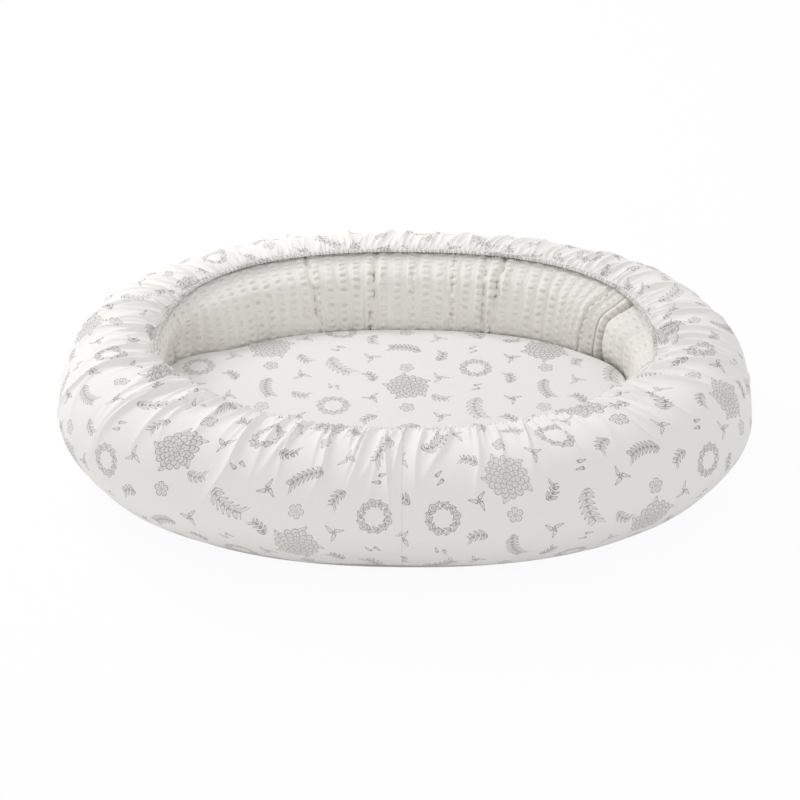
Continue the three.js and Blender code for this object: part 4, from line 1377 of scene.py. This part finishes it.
def crinkle_tree():
    """Geometry Nodes tree that presses ladders of small puckers into the roll's cloth."""
    tree, given, result = new_group(
        "crinkle", "GeometryNodeTree",
        [("Geometry", "NodeSocketGeometry", None), ("Lane Spacing", FLOAT, 20 * MM),
         ("Pucker Spacing", FLOAT, 9.5 * MM), ("Pucker Depth", FLOAT, 1.5 * MM),
         ("Pucker Width", FLOAT, 9 * MM), ("Pucker Height", FLOAT, 2.0 * MM), ("Tuck Width", FLOAT, 1.5 * MM),
         ("Seed", "NodeSocketInt", SEED), ("Material", "NodeSocketMaterial", None)],
        [("Geometry", "NodeSocketGeometry")],
    )
    cloth = add(tree, "GeometryNodeInputNamedAttribute", {"Name": "weft"}, data_type="FLOAT_VECTOR")
    where = add(tree, "ShaderNodeSeparateXYZ", [cloth])
    lane = add(tree, MATH, [where.outputs[0], given["Lane Spacing"]], operation="DIVIDE")
    lane_id = add(tree, MATH, [lane], operation="FLOOR")
    lane_share = add(tree, MATH, [lane], operation="FRACT")
    off_lane = add(tree, MATH, [lane_share, MIDDLE], operation="SUBTRACT")
    across = add(tree, MATH, [off_lane], operation="ABSOLUTE")
    across = add(tree, MATH, [across, given["Lane Spacing"]], operation="MULTIPLY")
    seeded = add(tree, MATH, [lane_id, given["Seed"]], operation="ADD")
    shift = add(tree, "ShaderNodeTexWhiteNoise", {"W": seeded}, noise_dimensions="1D")
    row = add(tree, MATH, [where.outputs[1], given["Pucker Spacing"]], operation="DIVIDE")
    waver = add(tree, "ShaderNodeTexNoise", {"Vector": cloth, "Scale": WAVES_PER_METRE, "Detail": 1.0})
    waver = add(tree, MATH, [waver, ROW_WAVER], operation="MULTIPLY")
    row = add(tree, MATH, [row, waver], operation="ADD")
    row = add(tree, MATH, [row, shift.outputs["Value"]], operation="ADD")
    row_id = add(tree, MATH, [row], operation="FLOOR")
    row_share = add(tree, MATH, [row], operation="FRACT")
    off_row = add(tree, MATH, [row_share, MIDDLE], operation="SUBTRACT")
    along = add(tree, MATH, [off_row, given["Pucker Spacing"]], operation="MULTIPLY")
    narrow = add(tree, MATH, [along, given["Pucker Height"]], operation="DIVIDE")
    narrow = add(tree, MATH, [narrow, narrow], operation="MULTIPLY")
    narrow = add(tree, MATH, [narrow, -1.0], operation="MULTIPLY")
    dent = add(tree, MATH, [narrow], operation="EXPONENT")
    half = add(tree, MATH, [given["Pucker Width"], 0.5], operation="MULTIPLY")
    most, least = [add(tree, MATH, [half, share], operation="MULTIPLY") for share in PUCKER_FADE]
    fade = [across, least, most, 1.0, 0.0]
    band = add(tree, "ShaderNodeMapRange", fade, interpolation_type="SMOOTHSTEP")
    spot = add(tree, "ShaderNodeCombineXYZ", [lane_id, row_id, given["Seed"]])
    chance = add(tree, "ShaderNodeTexWhiteNoise", [spot], noise_dimensions="3D")
    strong = add(tree, "ShaderNodeMapRange", [chance.outputs["Value"], 0.0, 1.0, *PUCKER_STRENGTHS])
    dent = add(tree, MATH, [dent, band], operation="MULTIPLY")
    dent = add(tree, MATH, [dent, strong], operation="MULTIPLY")
    half_lane = add(tree, MATH, [given["Lane Spacing"], 0.5], operation="MULTIPLY")
    to_tuck = add(tree, MATH, [half_lane, across], operation="SUBTRACT")
    tuck = add(tree, MATH, [to_tuck, given["Tuck Width"]], operation="DIVIDE")
    tuck = add(tree, MATH, [tuck, tuck], operation="MULTIPLY")
    tuck = add(tree, MATH, [tuck, -1.0], operation="MULTIPLY")
    tuck = add(tree, MATH, [tuck], operation="EXPONENT")
    tuck = add(tree, MATH, [tuck, TUCK_SHARE], operation="MULTIPLY")
    hollow_depth_and_shade = add(tree, MATH, [dent, tuck], operation="ADD")
    rise = add(tree, MATH, [band, LANE_RISE], operation="MULTIPLY")
    lift = add(tree, MATH, [rise, hollow_depth_and_shade], operation="SUBTRACT")
    rough = add(tree, "ShaderNodeTexNoise", {"Vector": cloth, "Scale": CRUMPLES_PER_METRE, "Detail": 2.0})
    rough = add(tree, MATH, [rough, MIDDLE], operation="SUBTRACT")
    lift = add(tree, MATH, [lift, rough], operation="ADD")
    deep = add(tree, MATH, [given["Pucker Depth"], where.outputs[2]], operation="MULTIPLY")
    lift = add(tree, MATH, [lift, deep], operation="MULTIPLY")
    normal = add(tree, "GeometryNodeInputNormal")
    offset = add(tree, VECTOR_MATH, {0: normal, "Scale": lift}, operation="SCALE")
    # Keeps the hollows' depth, which the seersucker paints as shade into its colour
    shaded = add(tree, MATH, [hollow_depth_and_shade, where.outputs[2]], operation="MULTIPLY")
    marked = add(
        tree, "GeometryNodeStoreNamedAttribute",
        {"Geometry": given["Geometry"], "Name": "hollow_depth_and_shade", "Value": shaded}, data_type="FLOAT", domain="POINT",
    )
    moved = add(tree, "GeometryNodeSetPosition", {"Geometry": marked, "Offset": offset})
    real = add(tree, "GeometryNodeRealizeInstances", [moved])
    dressed = add(tree, "GeometryNodeSetMaterial", {"Geometry": real, "Material": given["Material"]})
    tree.links.new(dressed.outputs[0], result["Geometry"])
    return tree


def press_crinkle(obj, uv, strength, nest, cotton):
    """Presses the puckers into a piece of the roll."""
    store(obj.data, "weft", np.concatenate([uv.reshape(-1, 2), strength.reshape(-1, 1)], 1))
    tree = bpy.data.node_groups.get("crinkle") or crinkle_tree()
    sizes = {
        "Lane Spacing": nest.lane_spacing,
        "Pucker Spacing": nest.pucker_spacing,
        "Pucker Depth": nest.pucker_depth,
    }
    run_tree(obj, tree, Material=cotton, **sizes)


class NEST_OT_roll(Operator):
    """Makes the stuffed roll: its filling, its crinkled tube and its two end panels"""

    bl_idname = "nest.roll"
    bl_label = "Roll"

    def execute(self, context):
        nest = context.scene.nest
        edge = nest_edge()
        cotton = crinkle_cotton("seersucker")
        angle = roll_angles()[None, :]
        low, high = BACK_END_LENGTH + END_PUSH, edge.roll_length - FRONT_END_LENGTH
        distance = roll_stations(low, high)[:, None]
        points, uv, crease_shade = roll_points(edge, distance, angle, 0.0)
        verts, faces = tube(points, nest.cloth, ROLL_INNER_STEP)
        both = np.concatenate([uv.reshape(-1, 2), uv[::ROLL_INNER_STEP].reshape(-1, 2)])
        obj = new_object("roll_tube", verts, faces, cotton, both)
        fade = smooth((high - distance) / CRINKLE_FADE) + 0 * angle
        inner = np.zeros(len(both) - fade.size)
        # The creases' share, for the shade that the seersucker paints into its colour
        store(obj.data, "crease_shade", np.concatenate([crease_shade.ravel(), inner]), "FLOAT")
        press_crinkle(obj, both, np.concatenate([fade.ravel(), inner]), nest, cotton)
        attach(obj, NEST)
        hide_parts("roll_cover")
        ends = (
            ("back", BACK_END_LENGTH, ROLL_BACK_ROUND, False),
            ("front", FRONT_END_LENGTH + END_PUSH, ROLL_FRONT_ROUND, True),
        )
        for name, reach, radius, at_front in ends:
            make_end(edge, nest, name, reach, radius, at_front, cotton)
        make_filling(edge)
        return {"FINISHED"}


def make_end(edge, nest, side, reach, radius, at_front, cotton):
    """One end of the roll: a short closed stretch that rounds off to a dome."""
    angle = roll_angles()[None, :]
    spots = [(float(d), 1.0) for d in np.linspace(reach, radius, END_STEPS, endpoint=False)]
    for turn in np.linspace(0, math.pi / 2, END_STEPS):
        full = max(0.0, 1 - math.sin(turn) ** END_POWER) ** (1 / END_POWER)
        spots.append((radius * (1 - math.sin(turn)) + END_EASE, full))
    if at_front:
        spots = [(edge.roll_length + END_PUSH - d, full) for d, full in spots]
    else:
        spots = [(END_PUSH + d, full) for d, full in spots[::-1]]
    rings = [roll_points(edge, np.array([[d]]), angle, 0.0, full) for d, full in spots]
    grid = np.concatenate([ring[0] for ring in rings])
    uv = np.concatenate([ring[1] for ring in rings])
    faces = grid_faces(*grid.shape[:2], wrap_columns=True).tolist()
    first = list(range(grid.shape[1]))
    last = (len(spots) - 1) * grid.shape[1]
    faces.append(first if at_front else [last + i for i in first][::-1])
    obj = new_object(f"roll_{side}_panel", grid, faces, cotton, uv.reshape(-1, 2))
    press_crinkle(obj, uv, np.full(uv.shape[:-1], END_CRINKLE), nest, cotton)
    close_poles(obj)
    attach(obj, NEST)
    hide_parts(f"roll_end_{side}")


def close_poles(obj):
    """Merges the points of a ring that has shrunk to nothing."""
    work = bmesh.new()
    work.from_mesh(obj.data)
    bmesh.ops.remove_doubles(work, verts=work.verts, dist=POLE_SIZE)
    bmesh.ops.recalc_face_normals(work, faces=work.faces)
    work.to_mesh(obj.data)
    work.free()
    smooth_faces(obj.data)


def make_filling(edge):
    """The roll's filling, a plain closed body of fibre under the cloth."""
    length = edge.roll_length
    angle = np.radians(np.linspace(0, 360, FILLING_SIDES, endpoint=False))[None, :]
    distance = np.linspace(FILLING_END, length - FILLING_END, FILLING_STATIONS)[:, None]
    points = roll_points(edge, END_PUSH + distance, angle, FILLING_DEPTH)[0]
    middle = points.mean(1, keepdims=True)
    tips = np.minimum(1, np.minimum(distance, length - distance)[..., None] / ROLL_FRONT_ROUND)
    points = middle + (points - middle) * np.sqrt(tips * (2 - tips)) * FILLING_SHARE
    points[..., 2] = np.maximum(points[..., 2], FOOT_HEIGHT + FILLING_DEPTH)
    faces = grid_faces(*points.shape[:2], wrap_columns=True).tolist()
    first = list(range(FILLING_SIDES))
    last = (FILLING_STATIONS - 1) * FILLING_SIDES
    faces.append(first)
    faces.append([last + i for i in first][::-1])
    obj = new_object("roll_fibre", points, faces, plain("polyester_fibre", "#F6F6F6", 1.0))
    close_poles(obj)
    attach(obj, NEST)
    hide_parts("roll_filling")


# The pad

PAD_STATIONS = 240
PAD_EASE = 1.6 * MM
PAD_BULGE = 8 * MM
PAD_CROWN_STEPS = 36
PAD_VOXEL = 6 * MM
PAD_PRESSURE = 4.0
PAD_CAP = 5 * MM
PAD_FRAMES = 20
PAD_SIDE_STEPS = 9
PAD_SHOULDER_STEPS = 8
PAD_START = 1 * MM
FOAM_DEPTH = 4 * MM
FOAM_HOLDS = 3 * MM
COVER_CLOTH = 1.5 * MM
PAD_BOTTOM_RINGS = 30
# The pad's cotton is drawn darker than the cover's by this share, as painted shade
PAD_PAINTED_SHADE = 0.94
# The room over the zip: height, the half sizes of its flat roof, and the width of its slopes
ZIP_ROOM = 5.6 * MM
ZIP_ROOM_HALF = (173 * MM, 25 * MM)
ZIP_ROOM_SLOPE = (16 * MM, 12 * MM)
# The base's recess round the zip, and the slot in it: half sizes, depth, slope and corners
ZIP_RECESS = 2.4 * MM
PLATE_CLOTH = 1.2 * MM
RECESS_HALF = (163 * MM, 19.5 * MM)
RECESS_SLOPE = 3 * MM
RECESS_EXPONENT = 9
SLOT_HALF = (156.5 * MM, 6.5 * MM)


def pad_floor(flat):
    """Height of the pad's underside, which is raised over the zip."""
    room = ZIP_ROOM
    for axis in (0, 1):
        beyond = np.abs(flat[..., axis]) - ZIP_ROOM_HALF[axis]
        room = room * (1 - smooth(beyond / ZIP_ROOM_SLOPE[axis]))
    return FOOT_HEIGHT + COVER_CLOTH + room


def pad_grid(edge, nest, depth):
    """Points of the pad from its bottom's middle over the side to its crown, by station."""
    low = FOOT_HEIGHT + COVER_CLOTH + depth
    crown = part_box("pad_cover_top")[1][2] - depth
    top = crown - nest.pad_crown
    straight = top - nest.pad_shoulder
    profile = []
    for share in np.linspace(0, 1, PAD_SIDE_STEPS):
        profile.append((-PAD_BULGE * math.sin(math.pi * share), mix(low, straight, share)))
    for turn in np.linspace(0, math.pi / 2, PAD_SHOULDER_STEPS)[1:]:
        inward = nest.pad_shoulder * (1 - math.cos(turn))
        profile.append((inward, straight + nest.pad_shoulder * math.sin(turn)))
    distance = edge.perimeter * np.arange(PAD_STATIONS) / PAD_STATIONS
    wall = edge.press(distance) - edge.half - PAD_EASE - depth
    rings = [edge.place(distance, wall - inward, up + 0 * distance) for inward, up in profile]
    for rim, level in ((rings[0], None), (rings[-1], nest.pad_crown)):
        shares = np.linspace(1, 0, PAD_CROWN_STEPS if level else PAD_BOTTOM_RINGS)[1:]
        for share in shares:
            ring = rim.copy()
            ring[:, :2] *= share
            if level:
                ring[:, 2] += level * (1 - share ** 2)
            else:
                ring[:, 2] = pad_floor(ring) + depth
            rings = rings + [ring] if level else [ring] + rings
    return np.stack(rings, 1)


def closed_pad(edge, nest, name, depth, material):
    """The whole pad as one closed mesh, or a body that lies inside it by a depth."""
    grid = pad_grid(edge, nest, depth)
    obj = new_object(name, grid, grid_faces(*grid.shape[:2], wrap_rows=True), material)
    close_poles(obj)
    return obj


def inflate(obj, voxel, pressure, cap):
    """Blows a closed mesh up with Blender's cloth, as a filled cover is, within a cap."""
    remesh = obj.modifiers.new("remesh", "REMESH")
    remesh.mode = "VOXEL"
    remesh.voxel_size = voxel
    mesh = keep_modified(obj)
    before = points_of(mesh)
    cloth = obj.modifiers.new("cloth", "CLOTH")
    cloth.settings.use_pressure = True
    cloth.settings.uniform_pressure_force = pressure
    cloth.settings.effector_weights.gravity = 0
    scene = bpy.context.scene
    for frame in range(1, PAD_FRAMES + 1):
        scene.frame_set(frame)
    graph = bpy.context.evaluated_depsgraph_get()
    move = points_of(obj.evaluated_get(graph).data) - before
    obj.modifiers.clear()
    scene.frame_set(1)
    far = np.linalg.norm(move, axis=1, keepdims=True)
    move *= np.minimum(1, cap / np.maximum(far, TINY))
    mesh.vertices.foreach_set("co", (before + move).ravel())
    mesh.update()


def settle_pad(obj, foam):
    """Smooths the simulated cover by one subdivision, holds it out where the foam fills it, and
    flattens it where it lies on the base."""
    finer = obj.modifiers.new("finer", "SUBSURF")
    finer.levels = 1
    finer.render_levels = 1
    held = obj.modifiers.new("held", "SHRINKWRAP")
    held.target = foam
    held.wrap_mode = "OUTSIDE"
    held.offset = FOAM_HOLDS
    mesh = keep_modified(obj)
    low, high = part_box("pad_cover_top")
    spots = np.clip(points_of(mesh), np.array(low), np.array(high) + MM)
    spots[:, 2] = np.maximum(spots[:, 2], pad_floor(spots))
    mesh.vertices.foreach_set("co", spots.ravel())
    smooth_faces(mesh)
    mesh.update()


class NEST_OT_pad(Operator):
    """Makes the mattress pad: foam, printed top cover and plain base cover"""

    bl_idname = "nest.pad"
    bl_label = "Pad"

    def execute(self, context):
        nest = context.scene.nest
        edge = nest_edge()
        drawing = bpy.data.node_groups["botanical_print"]
        cotton = printed_cotton("pad_percale", "", drawing, PAD_PAINTED_SHADE)
        polyether = plain("polyether_foam", "#EFE8D6", 0.95)
        foam = closed_pad(edge, nest, "pad_core", FOAM_DEPTH, polyether)
        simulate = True
        top = closed_pad(edge, nest, "pad_top", PAD_START if simulate else 0.0, cotton)
        if simulate:
            inflate(top, PAD_VOXEL, PAD_PRESSURE, PAD_CAP)
            top.data.materials.clear()
            top.data.materials.append(cotton)
            settle_pad(top, foam)
        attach(top, NEST)
        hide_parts("pad_cover_top")
        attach(foam, NEST)
        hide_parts("pad_foam")
        make_pad_base(edge)
        return {"FINISHED"}


def make_pad_base(edge):
    """The pad's plain underside, pressed in round the zip and open along it."""
    distance = edge.perimeter * np.arange(PAD_STATIONS) / PAD_STATIONS
    outer = edge.place(distance, edge.press(distance) - edge.half - PAD_EASE, 0 * distance)[:, :2]
    turn = np.arctan2(outer[:, 1], outer[:, 0])

    def bordered(half, border):
        radius = oval(turn, RECESS_EXPONENT)
        x = (half[0] + border) * radius * np.cos(turn)
        return np.stack([x, (half[1] + border) * radius * np.sin(turn)], -1)

    low, high = FOOT_HEIGHT, FOOT_HEIGHT + ZIP_RECESS
    rings = [(outer, low), (bordered(RECESS_HALF, RECESS_SLOPE), low)]
    rings += [(bordered(RECESS_HALF, 0), high), (bordered(SLOT_HALF, 0), high)]
    rings += [(flat, level + PLATE_CLOTH) for flat, level in rings[::-1]]
    grid = np.stack([np.column_stack([flat, np.full(len(flat), level)]) for flat, level in rings], 1)
    faces = grid_faces(*grid.shape[:2], wrap_rows=True, wrap_columns=True)
    obj = new_object("pad_base", grid, faces[:, ::-1], plain_cloth("pad_percale_plain", "#F0EEEB"))
    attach(obj, NEST)
    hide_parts("pad_cover_base")


# The zip keeps its solids, in finishes of their own

def woven_tape(name):
    """Polyester zip tape in herringbone, matt and close."""
    material, tree = new_material(name)
    place = add(tree, "ShaderNodeTexCoord").outputs["Object"]
    ribs = add(
        tree, "ShaderNodeTexWave", {"Vector": place, "Scale": 320.0, "Distortion": 0.6, "Detail": 1.0},
        bands_direction="DIAGONAL",
    )
    light, dark = srgb("#F1EFEC"), srgb("#DCD9D4")
    mixed = add(tree, "ShaderNodeMix", {0: ribs.outputs["Fac"], 6: dark, 7: light}, data_type="RGBA")
    fill = {"Strength": 0.5, "Distance": 0.15 * MM, "Height": ribs.outputs["Fac"]}
    finish_material(tree, mixed, 0.85, add(tree, "ShaderNodeBump", fill))
    return material


def lacquered_metal(name):
    """Die-cast zinc under white lacquer: a smooth film with a faint orange peel."""
    material, tree = new_material(name)
    place = add(tree, "ShaderNodeTexCoord").outputs["Object"]
    peel = add(tree, "ShaderNodeTexNoise", {"Vector": place, "Scale": 1400.0, "Detail": 1.0})
    gloss = add(tree, "ShaderNodeMapRange", [peel, 0.0, 1.0, 0.24, 0.36])
    bump = add(tree, "ShaderNodeBump", {"Strength": 0.15, "Distance": 0.05 * MM, "Height": peel})
    finish_material(tree, srgb("#E9E8E6"), gloss, bump, Coat_Weight=0.4)
    return material


class NEST_OT_zip(Operator):
    """Gives the zip's tapes, coils, slider and stops their finishes"""

    bl_idname = "nest.zip"
    bl_label = "Zip"

    def execute(self, context):
        tape, metal = woven_tape("zip_tape_weave"), lacquered_metal("white_lacquer")
        nylon = plain("nylon_coil", "#EDEBE7", 0.45)
        finishes = (("zip_tape", tape), ("zip_coil", nylon), ("zip_slider", metal), ("zip_stop", metal))
        for name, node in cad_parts.items():
            for start, finish in finishes:
                if name.startswith(start):
                    node.data.materials.clear()
                    node.data.materials.append(finish)
        return {"FINISHED"}


class NEST_PT_panel(Panel):
    """Lists the parts of the nest in the sidebar"""

    bl_idname = "NEST_PT_panel"
    bl_label = "Baby Nest"
    bl_space_type = "VIEW_3D"
    bl_region_type = "UI"
    bl_category = "Baby Nest"

    def draw(self, context):
        nest = context.scene.nest
        for name in NestSettings.__annotations__:
            self.layout.prop(nest, name)
        for part in PARTS:
            self.layout.operator(part.bl_idname)


PARTS = (NEST_OT_stage, NEST_OT_cover, NEST_OT_rim, NEST_OT_roll, NEST_OT_pad, NEST_OT_zip)
CLASSES = (NestSettings, *PARTS, NEST_PT_panel)


def register():
    for cls in CLASSES:
        bpy.utils.register_class(cls)
    bpy.types.Scene.nest = PointerProperty(type=NestSettings)


def unregister():
    del bpy.types.Scene.nest
    for cls in reversed(CLASSES):
        bpy.utils.unregister_class(cls)


def main():
    """Makes every part in order."""
    register()
    for part in PARTS:
        getattr(bpy.ops.nest, part.bl_idname.split(".")[1])()


if __name__ == "__main__":
    main()
